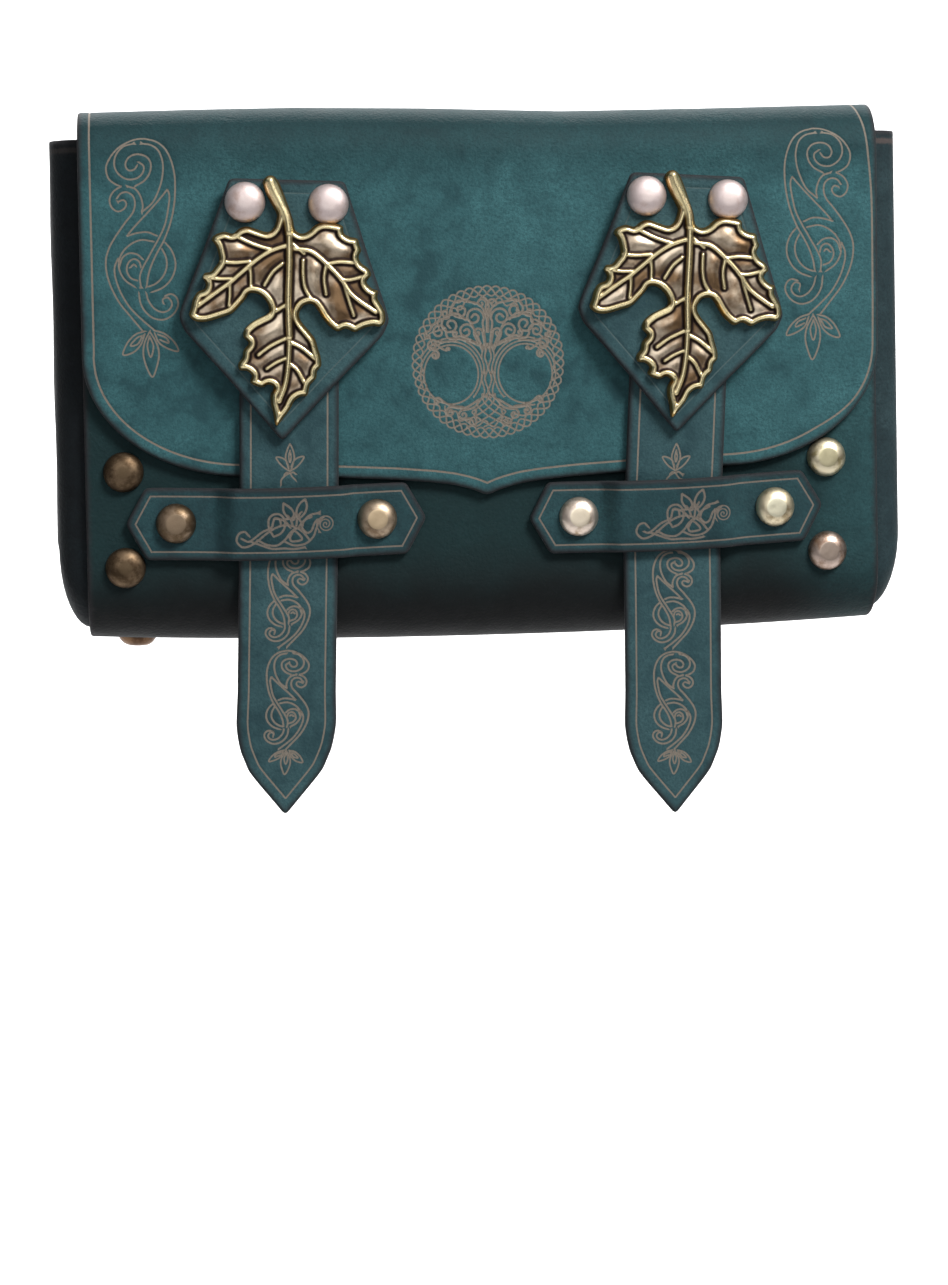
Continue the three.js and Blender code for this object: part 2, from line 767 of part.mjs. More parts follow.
// Builds one side's gusset, patch, leaf, strap, keeper and their rivets, and drills the leather
function makeSide(side, hideDrills) {
  const { sign, name } = side;
  const evenX = (sign * strapSpacing) / 2;
  const strapDrills = [];

  const patchFrame = new THREE.Group();
  patchFrame.position.set(evenX + side.patch, 0, patchTopZ - flapStartZ);
  patchFrame.rotation.y = THREE.MathUtils.degToRad(side.patchTilt);
  flapFrame.add(patchFrame);
  patchFrame.updateMatrix();
  const patchToPouch = flapFrame.matrixWorld.clone().multiply(patchFrame.matrix);
  const patchDrills = [];
  for (const [end, label] of [[-1, "a"], [1, "b"]]) {
    const x = (end * patchRivetSpacing) / 2;
    const rivetName = `patch_rivet_${name}_${label}`;
    const hole = borehole(x, patchFaceY, hideThickness, -patchRivetDrop);
    patchDrills.push(solidOf(hole));
    const holeInPouch = solidOf(hole.clone().applyMatrix4(patchToPouch));
    strapDrills.push(holeInPouch);
    hideDrills.push(holeInPouch);
    const grip = hideThickness - patchFaceY;
    placeRivet(patchFrame, rivetName, x, patchFaceY, -patchRivetDrop, "front", grip, rivetSilver);
  }

  const leafFrame = new THREE.Group();
  const leafZ = patchTopZ - flapStartZ - leafDrop;
  leafFrame.position.set(evenX + side.leaf, patchFaceY - touchGap, leafZ);
  leafFrame.rotation.y = THREE.MathUtils.degToRad(side.leafTilt);
  flapFrame.add(leafFrame);
  place(leafFrame, `leaf_${name}`, makeLeaf(), castBrass);
  leafFrame.updateMatrix();
  const studSpot = new THREE.Vector3(0, 0, -patchLength * studDrop).applyMatrix4(leafFrame.matrix);
  const studRoom = studRadius + shankClearance;
  const studHole = borehole(studSpot.x, patchFaceY, -touchGap * 3, studSpot.z, studRoom);
  strapDrills.push(solidOf(studHole.clone().applyMatrix4(flapFrame.matrixWorld)));
  patchDrills.push(solidOf(studHole.applyMatrix4(patchFrame.matrix.clone().invert())));

  place(patchFrame, `patch_${name}`, cutBy(makePatch(), patchDrills), strapLeather);
  place(pouch, `strap_${name}`, cutBy(makeStrap(side), strapDrills), strapLeather);

  const keeperFrame = new THREE.Group();
  keeperFrame.position.set(evenX + side.keeper, 0, keeperZ);
  keeperFrame.rotation.y = THREE.MathUtils.degToRad(side.keeperTilt);
  pouch.add(keeperFrame);
  keeperFrame.updateMatrix();
  const keeperDrills = [];
  for (const [end, label] of [[-1, "a"], [1, "b"]]) {
    const x = (end * keeperRivetSpacing) / 2;
    const seat = frontY - touchGap - keeperThickness;
    keeperDrills.push(drill(x, seat, frontY, 0));
    const spot = new THREE.Vector3(x, 0, 0).applyMatrix4(keeperFrame.matrix);
    hideDrills.push(drill(spot.x, frontY, frontY + hideThickness, spot.z));
    const grip = hideThickness + touchGap + keeperThickness;
    placeRivet(keeperFrame, `keeper_rivet_${name}_${label}`, x, seat, 0, "front", grip);
  }
  const keeper = makeKeeper(side, side.strapKeeper - side.keeper);
  place(keeperFrame, `keeper_${name}`, cutBy(keeper, keeperDrills), tealLeather);

  const gussetDrills = [];
  const rivetX = sign * (halfWidth - sideRivetInset + side.rivetShift);
  for (const [rise, label] of [[sideRivetHigh, "upper"], [sideRivetLow, "lower"]]) {
    const hole = drill(rivetX, frontY, frontY + edgeGrip, baseZ + rise);
    hideDrills.push(hole);
    gussetDrills.push(hole);
    placeRivet(pouch, `side_rivet_${name}_${label}`, rivetX, frontY, baseZ + rise, "front", edgeGrip);
  }
  const backX = sign * (halfWidth - sideRivetInset);
  const backRivets = table(["label", "z"], [
    ["upper", topZ - backRivetDrop],
    ["middle", baseZ + backRivetMiddle],
    ["lower", baseZ + sideRivetLow],
  ]);
  for (const { label, z } of backRivets) {
    const hole = drill(backX, backY - edgeGrip, backY, z);
    hideDrills.push(hole);
    gussetDrills.push(hole);
    placeRivet(pouch, `back_rivet_${name}_${label}`, backX, backY, z, "back", edgeGrip);
  }
  if (side.baseRivet) {
    const hole = borehole(0, -edgeGrip, 0, 0).rotateX(facings.down).translate(backX, baseRivetY, baseZ);
    hideDrills.push(solidOf(hole));
    gussetDrills.push(solidOf(hole));
    placeRivet(pouch, `base_rivet_${name}`, backX, baseRivetY, baseZ, "down", edgeGrip);
  }
  place(pouch, `gusset_${name}`, cutBy(makeGusset(sign), gussetDrills), darkLeather);
}

// A belt loop: tabs flat on the back panel and a straight run that stands off it by the belt gap
function makeLoop(sign, hideDrills) {
  const x = (sign * loopSpacing) / 2;
  const standOff = beltGap - touchGap;
  const turn = THREE.MathUtils.degToRad(loopRampAngle);
  const outsideRadius = loopBendRadius + loopThickness;
  const drop = (radius) => radius * (1 - Math.cos(turn));
  const slope = (standOff - drop(outsideRadius) - drop(loopBendRadius)) / Math.sin(turn);
  const rampHeight = (outsideRadius + loopBendRadius) * Math.sin(turn) + slope * Math.cos(turn);
  const tabZ = beltHeight / 2 + rampHeight + loopTab;
  const start = { y: backY + touchGap + loopThickness, z: -tabZ, heading: Math.PI / 2 };
  const path = foldPath(start, table(["run", "bend", "radius", "steps"], [
    [loopTab, -turn, loopBendRadius, 2],
    [slope, turn, outsideRadius, 3],
    [beltHeight, turn, outsideRadius, 3],
    [slope, -turn, loopBendRadius, 2],
    [loopTab, 0, 0, 1],
  ]));
  const edges = [-1, 1].map((edge) => x + (edge * loopWidth) / 2);
  const grids = [0, loopThickness].map((depth) => path.stations.map((s) => {
    const { y, z } = path.at(s, depth);
    return edges.map((edgeX) => ({ x: edgeX, y, z }));
  }));
  const drills = [];
  const name = sign < 0 ? "left" : "right";
  for (const [end, label] of [[1, "upper"], [-1, "lower"]]) {
    const z = end * (tabZ - loopTab / 2 - touchGap);
    const seat = backY + touchGap + loopThickness;
    const grip = hideThickness + touchGap + loopThickness;
    const hole = drill(x, seat - grip, seat, z);
    hideDrills.push(hole);
    drills.push(hole);
    placeRivet(pouch, `loop_rivet_${name}_${label}`, x, seat, z, "back", grip);
  }
  place(pouch, `belt_loop_${name}`, cutBy(solidOf(slab(grids[0], grids[1])), drills), darkLeather);
}

const hideDrills = [];
for (const side of sides) {
  makeSide(side, hideDrills);
  makeLoop(side.sign, hideDrills);
}
place(pouch, "body", cutBy(makeHide(), hideDrills), tealLeather);

export default pouch;
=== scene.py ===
"""Looks of a teal leather belt pouch with cast leaves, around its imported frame."""
import math
import random

import bpy
import numpy as np
from mathutils import Matrix, Vector
from mathutils.geometry import delaunay_2d_cdt
from mathutils.kdtree import KDTree


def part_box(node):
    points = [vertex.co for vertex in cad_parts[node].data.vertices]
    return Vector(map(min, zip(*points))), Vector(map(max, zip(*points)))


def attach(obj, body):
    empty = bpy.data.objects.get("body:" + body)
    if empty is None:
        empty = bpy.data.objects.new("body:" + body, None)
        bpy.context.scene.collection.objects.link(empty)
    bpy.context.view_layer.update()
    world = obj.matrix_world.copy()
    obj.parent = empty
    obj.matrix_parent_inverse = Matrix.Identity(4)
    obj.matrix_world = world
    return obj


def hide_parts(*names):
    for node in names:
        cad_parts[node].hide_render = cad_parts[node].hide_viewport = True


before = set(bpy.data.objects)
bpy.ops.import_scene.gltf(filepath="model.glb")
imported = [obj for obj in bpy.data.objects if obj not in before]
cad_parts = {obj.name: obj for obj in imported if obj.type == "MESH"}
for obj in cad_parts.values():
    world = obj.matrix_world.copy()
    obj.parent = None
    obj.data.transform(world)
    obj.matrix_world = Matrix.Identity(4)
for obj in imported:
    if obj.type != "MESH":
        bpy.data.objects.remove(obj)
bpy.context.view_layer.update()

# Sizes in mm, as in the solids
MM = 0.001
HALF = 100.0
FRONT_Y = -48.0
BACK_Y = -3.0
TOP_Z = 46.0
BASE_Z = -87.0
HIDE = 2.0
GAP = 0.3
FLAP_START_Z = 34.0
FLAP_EDGE_Z = -45.0
FLAP_TOP_Y = -52.2
FLAP_RUN = 85.2
FLAP_LEAN = math.atan(1.9 / FLAP_RUN)
STRAP = 2.0
STRAP_X = 49.0
STRAP_HALF = 12.3
STRAP_HEAD_HALF = 13.5
STRAP_HEAD_Z = 22.2
STRAP_HANG = 45.0
STRAP_TIP = 23.0
KEEPER = 2.0
KEEPER_Z = -56.5
KEEPER_HALF = 37.4
KEEPER_FLAT = 32.4
KEEPER_RISE = 9.0
KEEPER_ARCH = 12.9
KEEPER_SEAT = 19.7
KEEPER_RAMP = 6.0
KEEPER_BOW = 0.8
PATCH = 2.2
PATCH_TOP_Z = 28.0
PATCH_LENGTH = 64.4
PATCH_HALF = 26.0
PATCH_FACE_Y = -4.8
LOOP_X = 55.0
LOOP_HALF = 14.0
LOOP = 2.5
QUARTER = math.pi / 2

# Each side as its maker laid it: small shifts in mm from an even layout, and tilts in degrees
SIDES = (
    dict(name="left", sign=-1, patch=0.3, patch_tilt=2.2, leaf=-0.4, leaf_tilt=0.0, head=0.8,
         mid=-0.8, tip=-3.2, extra=-1.5, keeper=-3.8, keeper_tilt=0.0),
    dict(name="right", sign=1, patch=2.0, patch_tilt=3.2, leaf=1.1, leaf_tilt=1.0, head=1.7,
         mid=-2.4, tip=-2.5, extra=1.5, keeper=-1.1, keeper_tilt=-1.5),
)


def smooth(t):
    """Eases from 0 to 1."""
    t = np.clip(t, 0.0, 1.0)
    return t * t * (3 - 2 * t)


def mix(a, b, t):
    return a + (b - a) * t


def spline(points, step=0.7, closed=False):
    """A smooth curve through points, in even steps."""
    p = np.array(points, float)
    n = len(p)
    if closed:
        q = np.vstack([p[-1:], p, p[:2]])
        spans = n
    else:
        q = np.vstack([2 * p[:1] - p[1:2], p, 2 * p[-1:] - p[-2:-1]])
        spans = n - 1
    out = []
    for i in range(spans):
        a, b, c, d = q[i], q[i + 1], q[i + 2], q[i + 3]
        steps = max(1, int(math.ceil(np.linalg.norm(c - b) / step)))
        for t in np.arange(steps) / steps:
            out.append(0.5 * (2 * b + (c - a) * t + (2 * a - 5 * b + 4 * c - d) * t * t
                              + (3 * b - a - 3 * c + d) * t ** 3))
    if not closed:
        out.append(p[-1])
    return np.array(out)


def broken(points, step=0.8, closed=False):
    """Straight runs between points, in even steps."""
    p = np.array(points, float)
    if closed:
        p = np.vstack([p, p[:1]])
    out = []
    for a, b in zip(p[:-1], p[1:]):
        steps = max(1, int(math.ceil(np.linalg.norm(b - a) / step)))
        out.extend(a + (b - a) * t for t in np.arange(steps) / steps)
    if not closed:
        out.append(p[-1])
    return np.array(out)


def normals_of(p, closed=True):
    """Unit normals to the left of a line."""
    if closed:
        along = np.roll(p, -1, 0) - np.roll(p, 1, 0)
    else:
        along = np.gradient(p, axis=0)
    along /= np.maximum(np.linalg.norm(along, axis=1, keepdims=True), 1e-9)
    return np.stack([-along[:, 1], along[:, 0]], 1)


def inside(points, polygon):
    """Whether each point lies in a polygon."""
    x, y = points[:, 0], points[:, 1]
    hit = np.zeros(len(points), bool)
    for (ax, ay), (bx, by) in zip(polygon, np.roll(polygon, -1, 0)):
        if ay == by:
            continue
        cross = ((ay > y) != (by > y)) & (x < (bx - ax) * (y - ay) / (by - ay) + ax)
        hit ^= cross
    return hit


def nearest(points, samples):
    """Distance from each point to the closest sample."""
    tree = KDTree(len(samples))
    for i, s in enumerate(samples):
        tree.insert((s[0], s[1], 0.0), i)
    tree.balance()
    return np.array([tree.find((p[0], p[1], 0.0))[2] for p in points])


def softened(line, rounds=2):
    """A closed line with its corners taken off."""
    for _ in range(rounds):
        line = (np.roll(line, 1, 0) + 2 * line + np.roll(line, -1, 0)) / 4
    return line


def band(lower, upper):
    """Faces between two closed runs of point numbers."""
    after = [*range(1, len(lower)), 0]
    return [(lower[i], lower[j], upper[j], upper[i]) for i, j in enumerate(after)]


def make_mesh(name, verts_mm, faces, material, node, attributes):
    """A piece of the one body that stands for a node of the solids."""
    mesh = bpy.data.meshes.new(name)
    mesh.from_pydata([tuple(v) for v in np.asarray(verts_mm) * MM], [], faces)
    for key, values in attributes.items():
        layer = mesh.attributes.new(key, "FLOAT", "POINT")
        layer.data.foreach_set("value", np.asarray(values, np.float32))
    mesh.validate()
    mesh.materials.append(material)
    mesh.shade_smooth()
    obj = bpy.data.objects.new(name, mesh)
    bpy.context.scene.collection.objects.link(obj)
    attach(obj, "root")
    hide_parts(node)


def groove_lines(lines, boundary, rim):
    """The parts of (line, width) pairs that run well inside a boundary."""
    runs = []
    for line, width in lines:
        keep = inside(line, boundary) & (nearest(line, rim) > width * 0.6)
        for run in np.split(np.arange(len(line)), np.flatnonzero(np.diff(keep.astype(int))) + 1):
            if keep[run[0]] and len(run) > 2:
                runs.append((line[run], width))
    return runs


def groove_share(points, runs, widths):
    """How deep in a groove each point lies, from 0 to 1 at its middle."""
    share = np.zeros(len(points))
    for width in widths:
        samples = np.vstack([broken(line, 0.15) for line, w in runs if w == width])
        share = np.maximum(share, np.clip(1 - nearest(points, samples) / (width / 2), 0, 1))
    share[share < 0.12] = 0
    return share


def fill(boundary, grid, lines=()):
    """Triangles inside a boundary, with grooves along lines given as (points, width) pairs.
    Returns points, triangles, each point's share in a groove and the places of the boundary's points."""
    n = len(boundary)
    parts = [boundary]
    edges = [(i, (i + 1) % n) for i in range(n)]
    count = n
    rim = broken(boundary, 0.3, closed=True)
    runs = groove_lines(lines, boundary, rim)
    for line, width in runs:
        off = normals_of(line, closed=False) * width / 2
        for side in (0, 1, -1):
            parts.append(line + off * side)
            edges.extend((count + i, count + i + 1) for i in range(len(line) - 1))
            count += len(line)
    widths = sorted({width for _, width in runs})
    if len(grid):
        grid = grid[inside(grid, boundary)]
        clear = nearest(grid, rim) > 0.35
        for width in widths:
            clear &= nearest(grid, np.vstack([line for line, w in runs if w == width])) > width * 0.8
        parts.append(grid[clear])
    points = np.vstack(parts)
    out = delaunay_2d_cdt([Vector((p[0], p[1])) for p in points], edges, [], 0, 1e-4, True)
    verts = np.array([tuple(v) for v in out[0]])
    tris = np.array([f for f in out[2] if len(f) == 3])
    middle = verts[tris].mean(1)
    tris = tris[inside(middle, boundary)]
    home = {old: new for new, olds in enumerate(out[3]) for old in olds if old < n}
    return verts, tris, groove_share(verts, runs, widths), [home[i] for i in range(n)]


# Insets of the rings that round a sheet's edges, in mm, and how wide its burnt edge is
FRONT_INSETS = (0.0, 0.12, 0.35, 0.62, 0.9)
BACK_INSETS = (0.0, 0.4, 0.75)
EDGE_RADIUS = 0.7
BURNT = 2.2
FLESH = -1.0


def grid_points(boxes):
    """Staggered rows of points: each box is x0, x1, y0, y1, spacing."""
    out = []
    for x0, x1, y0, y1, step in boxes:
        for k, y in enumerate(np.arange(y0 + step / 2, y1, step * 0.87)):
            xs = np.arange(x0 + (step / 2 if k % 2 else 0), x1, step)
            out.append(np.stack([xs, np.full(len(xs), y)], 1))
    return np.vstack(out)


def edge_fall(inset):
    """How far a rounded edge lies below the face."""
    left = EDGE_RADIUS - min(inset, EDGE_RADIUS)
    return EDGE_RADIUS - math.sqrt(max(0.0, EDGE_RADIUS ** 2 - left ** 2))


def leather(name, outline, thickness, mapper, boxes, material, lines, depth, node):
    """A sheet cut to an outline (anticlockwise), with rounded edges and tooled lines.
    mapper takes u, v and the height above the outer face, all in mm."""
    normal = normals_of(outline)
    rows = []
    faces = []

    def add(flat, height, burnt, tooled):
        """Takes points with their height and their shares of burnt edge and tooled line, and numbers them."""
        first = sum(len(row) for row in rows)
        columns = [np.broadcast_to(value, len(flat)) for value in (height, burnt, tooled)]
        rows.append(np.column_stack([flat, *columns]))
        return list(range(first, first + len(flat)))

    front = [add(outline + normal * inset, -edge_fall(inset), inset / BURNT, 0.0)
             for inset in FRONT_INSETS[:-1]]
    verts, tris, share, home = fill(outline + normal * FRONT_INSETS[-1], grid_points(boxes), lines)
    burnt = np.clip(nearest(verts, broken(outline, 0.3, closed=True)) / BURNT, 0, 1)
    face = add(verts, -depth * share, burnt, share)
    front.append([face[i] for i in home])
    for lower, upper in zip(front[:-1], front[1:]):
        faces += band(lower, upper)
    faces += [tuple(face[i] for i in t) for t in tris.tolist()]

    back = [add(outline + normal * inset, edge_fall(inset) - thickness, inset / BURNT, FLESH if inset else 0.0)
            for inset in BACK_INSETS]
    faces += band(back[0], front[0])
    for lower, upper in zip(back[1:], back[:-1]):
        faces += band(lower, upper)
    coarse = grid_points([(x0, x1, y0, y1, max(2.2, step * 1.5)) for x0, x1, y0, y1, step in boxes])
    verts, tris, _, home = fill(outline + normal * BACK_INSETS[-1], coarse)
    number = dict(zip(home, back[-1]))
    rest = [i for i in range(len(verts)) if i not in number]
    number.update(zip(rest, add(verts[rest], -thickness, 1.0, FLESH)))
    faces += [(number[a], number[c], number[b]) for a, b, c in tris.tolist()]

    table = np.vstack(rows)
    points = mapper(table[:, 0], table[:, 1], table[:, 2])
    make_mesh(name, points, faces, material, node, {"edge": table[:, 3], "tooled": table[:, 4]})


class FoldPath:
    """Runs and bends in the YZ plane, followed along the outer face of the leather."""

    def __init__(self, y, z, heading, legs):
        rows = []
        start = 0.0
        for run, bend, radius in legs:
            if run > 0:
                rows.append((start, run, y, z, heading, 0.0, 0.0))
                y += math.cos(heading) * run
                z += math.sin(heading) * run
                start += run
            if bend:
                arm = math.copysign(radius, bend)
                rows.append((start, radius * abs(bend), y, z, heading, bend, arm))
                y += (math.sin(heading + bend) - math.sin(heading)) * arm
                z += (math.cos(heading) - math.cos(heading + bend)) * arm
                heading += bend
                start += radius * abs(bend)
        self.rows = np.array(rows)
        self.length = start

    def at(self, s, out):
        """The Y and Z of places at a length along the path and a height above it."""
        index = np.clip(np.searchsorted(self.rows[:, 0], s, side="right") - 1, 0, len(self.rows) - 1)
        start, length, y, z, heading, turn, arm = self.rows[index].T
        along = s - start
        angle = heading + turn * along / length
        run = np.where(turn == 0, along, 0.0)
        y = y + np.cos(heading) * run + (np.sin(angle) - np.sin(heading)) * arm + np.sin(angle) * out
        z = z + np.sin(heading) * run + (np.cos(heading) - np.cos(angle)) * arm - np.cos(angle) * out
        return y, z


# The hide from the top of the front panel down, under the base, up the back, over the top and down the flap
hide_path = FoldPath(FRONT_Y, TOP_Z - 10, -QUARTER, (
    (108.0, QUARTER, 15.0),
    (16.0, QUARTER, 14.0),
    (109.0, QUARTER, 10.0),
    (27.2, QUARTER + FLAP_LEAN, 12.0),
    (FLAP_RUN, 0.0, 0.0),
))
FLAP_S = hide_path.length - FLAP_RUN

TOP_WAVE = np.array([(-110, 0.0), (-98, 0.1), (-70, 0.6), (-46, 0.8), (-14, 0.3), (21, -0.8), (57, -0.5),
                     (100, 0.1), (110, 0.1)])


def settle(points):
    """The slight sag of the base and wave of the top edge, the same for all that lies there."""
    x, z = points[:, 0], points[:, 2]
    low = smooth((-62.0 - z) / 22.0) * (-1.0 + 2.4 * np.abs(np.clip(x, -105, 105) / 100.0) ** 2.2)
    high = smooth((z - 22.0) / 20.0) * np.interp(x, TOP_WAVE[:, 0], TOP_WAVE[:, 1])
    points = points.copy()
    points[:, 2] = z + low + high
    return points


def hide_map(u, v, w):
    y, z = hide_path.at(-v, w)
    return settle(np.column_stack([u, y, z]))


def flap_face_y(z):
    return FLAP_TOP_Y + (FLAP_START_Z - z) * math.tan(FLAP_LEAN)


# Where a strap leaves the flap's edge and where it meets the front panel
DIP_START = FLAP_EDGE_Z - 0.8
DIP_END = KEEPER_Z - 1.2
STRAP_STAND = 0.5


def strap_inner_y(z):
    """Y of a strap's inner face, over the flap and then on the panel."""
    on_flap = flap_face_y(np.maximum(z, DIP_START)) - GAP
    return mix(on_flap, FRONT_Y - STRAP_STAND, smooth((DIP_START - z) / (DIP_START - DIP_END)))


def slope_of(height, at):
    return (height(at + 0.05) - height(at - 0.05)) / 0.1


def strap_tip(side):
    return BASE_Z - STRAP_HANG - side["extra"]


def strap_map(side):
    centre = side["sign"] * STRAP_X
    tip = strap_tip(side)

    def mapper(u, v, w):
        up = mix(side["mid"], side["head"], (v - KEEPER_Z) / (STRAP_HEAD_Z - KEEPER_Z))
        down = mix(side["mid"], side["tip"], (KEEPER_Z - v) / (KEEPER_Z - tip))
        x = centre + u + np.where(v > KEEPER_Z, up, down)
        slope = slope_of(strap_inner_y, v)
        size = np.sqrt(1 + slope ** 2)
        y = strap_inner_y(v) - STRAP - w / size
        hang = smooth((BASE_Z + 14 - v) / 40.0) * 1.2
        return np.column_stack([x, y + hang, v + w * slope / size])
    return mapper


def keeper_map(side):
    """A band that lies on the panel at its ends and arches over the strap."""
    shift = side["mid"] - side["keeper"]
    left, right = shift - KEEPER_ARCH, shift + KEEPER_ARCH
    ramp_left, ramp_right = min(KEEPER_RAMP, left + KEEPER_SEAT), min(KEEPER_RAMP, KEEPER_SEAT - right)
    seat = FRONT_Y - GAP
    lift_top, lift_base = (seat - (strap_inner_y(KEEPER_Z + rise) - STRAP - GAP)
                           for rise in (KEEPER_RISE, -KEEPER_RISE))
    tilt = math.radians(side["keeper_tilt"])
    centre = side["sign"] * STRAP_X + side["keeper"]

    def surface(u, v):
        arch = smooth(np.minimum((u - left + ramp_left) / ramp_left, (right + ramp_right - u) / ramp_right))
        return seat - mix(lift_base, lift_top, (v + KEEPER_RISE) / (2 * KEEPER_RISE)) * arch - KEEPER

    def mapper(u, v, w):
        slope_u = slope_of(lambda at: surface(at, v), u)
        slope_v = slope_of(lambda at: surface(u, at), v)
        size = np.sqrt(1 + slope_u ** 2 + slope_v ** 2)
        x = u + w * slope_u / size
        z = v + w * slope_v / size - KEEPER_BOW * np.cos(np.pi * np.clip(u / 76.0, -0.5, 0.5)) ** 2
        return np.column_stack([
            centre + x * math.cos(tilt) + z * math.sin(tilt),
            surface(u, v) - w / size,
            KEEPER_Z + z * math.cos(tilt) - x * math.sin(tilt),
        ])
    return mapper


flap_matrix = Matrix.Translation((0, FLAP_TOP_Y, FLAP_START_Z)) @ Matrix.Rotation(FLAP_LEAN, 4, "X")


def moved(matrix, points):
    m = np.array(matrix)
    return points @ m[:3, :3].T + m[:3, 3]


def on_flap(x, z, tilt):
    """A frame on the flap whose +X and +Z lie along it."""
    place = Matrix.Translation((x, 0, z - FLAP_START_Z))
    return flap_matrix @ place @ Matrix.Rotation(math.radians(tilt), 4, "Y")


def patch_map(side):
    """A shield on the flap with ends that bend back a little."""
    matrix = on_flap(side["sign"] * STRAP_X + side["patch"], PATCH_TOP_Z, side["patch_tilt"])

    def mapper(u, v, w):
        droop = 1.2 * smooth((np.abs(u) - 16.0) / 10.0)
        return moved(matrix, np.column_stack([u, PATCH_FACE_Y - w + droop, v]))
    return mapper


class Nodes:
    """Short calls for building a node tree."""

    def __init__(self, name):
        self.material = bpy.data.materials.new(name)
        self.material.use_nodes = True
        self.tree = self.material.node_tree
        self.tree.nodes.clear()
        self.shader = self.tree.nodes.new("ShaderNodeBsdfPrincipled")
        output = self.tree.nodes.new("ShaderNodeOutputMaterial")
        self.link(self.shader.outputs[0], output.inputs[0])
        self.place = self.tree.nodes.new("ShaderNodeTexCoord").outputs["Object"]

    def link(self, a, b):
        self.tree.links.new(a, b)

    def put(self, socket, value):
        if isinstance(value, bpy.types.NodeSocket):
            self.link(value, socket)
        elif isinstance(value, (tuple, list)) and len(value) == 3 and socket.type == "RGBA":
            socket.default_value = (*value, 1.0)
        else:
            socket.default_value = value

    def noise(self, scale, detail=3.0, roughness=0.55, distortion=0.0, vector=None):
        node = self.tree.nodes.new("ShaderNodeTexNoise")
        self.put(node.inputs["Vector"], vector or self.place)
        for key, value in (("Scale", scale), ("Detail", detail), ("Roughness", roughness),
                           ("Distortion", distortion)):
            node.inputs[key].default_value = value
        return node.outputs["Fac"]

    def cells(self, scale):
        node = self.tree.nodes.new("ShaderNodeTexVoronoi")
        node.feature = "SMOOTH_F1"
        node.inputs["Scale"].default_value = scale
        self.put(node.inputs["Vector"], self.place)
        return node.outputs["Distance"]

    def stretched(self, scale):
        node = self.tree.nodes.new("ShaderNodeMapping")
        self.put(node.inputs["Vector"], self.place)
        node.inputs["Scale"].default_value = scale
        return node.outputs[0]

    def attribute(self, name):
        node = self.tree.nodes.new("ShaderNodeAttribute")
        node.attribute_name = name
        return node.outputs["Fac"]

    def ramp(self, value, low, high, to_low=0.0, to_high=1.0):
        """Eases from to_low at low to to_high at high."""
        node = self.tree.nodes.new("ShaderNodeMapRange")
        node.interpolation_type = "SMOOTHSTEP"
        for socket, item in zip(node.inputs[:5], (value, low, high, to_low, to_high)):
            self.put(socket, item)
        return node.outputs[0]

    def maths(self, kind, a, b):
        node = self.tree.nodes.new("ShaderNodeMath")
        node.operation = kind
        self.put(node.inputs[0], a)
        self.put(node.inputs[1], b)
        return node.outputs[0]

    def add(self, a, b):
        return self.maths("ADD", a, b)

    def times(self, a, b):
        return self.maths("MULTIPLY", a, b)

    def blend(self, share, a, b):
        """Goes from colour a to colour b."""
        node = self.tree.nodes.new("ShaderNodeMix")
        node.data_type = "RGBA"
        self.put(node.inputs[0], share)
        self.put(node.inputs[6], a)
        self.put(node.inputs[7], b)
        return node.outputs[2]

    def place_parts(self):
        """Object coordinates one by one, in metres."""
        node = self.tree.nodes.new("ShaderNodeSeparateXYZ")
        self.link(self.place, node.inputs[0])
        return node.outputs[:3]

    def bump(self, layers):
        """Stacks (height, distance in mm) pairs."""
        normal = None
        for value, distance in layers:
            node = self.tree.nodes.new("ShaderNodeBump")
            node.inputs["Strength"].default_value = 1.0
            node.inputs["Distance"].default_value = distance * MM
            self.put(node.inputs["Height"], value)
            if normal:
                self.put(node.inputs["Normal"], normal)
            normal = node.outputs[0]
        self.put(self.shader.inputs["Normal"], normal)

    def finish(self, colour, roughness, metallic=0.0, **fixed):
        self.put(self.shader.inputs["Base Color"], colour)
        self.put(self.shader.inputs["Roughness"], roughness)
        self.shader.inputs["Metallic"].default_value = metallic
        for key, value in fixed.items():
            self.shader.inputs[key.replace("_", " ")].default_value = value
        return self.material


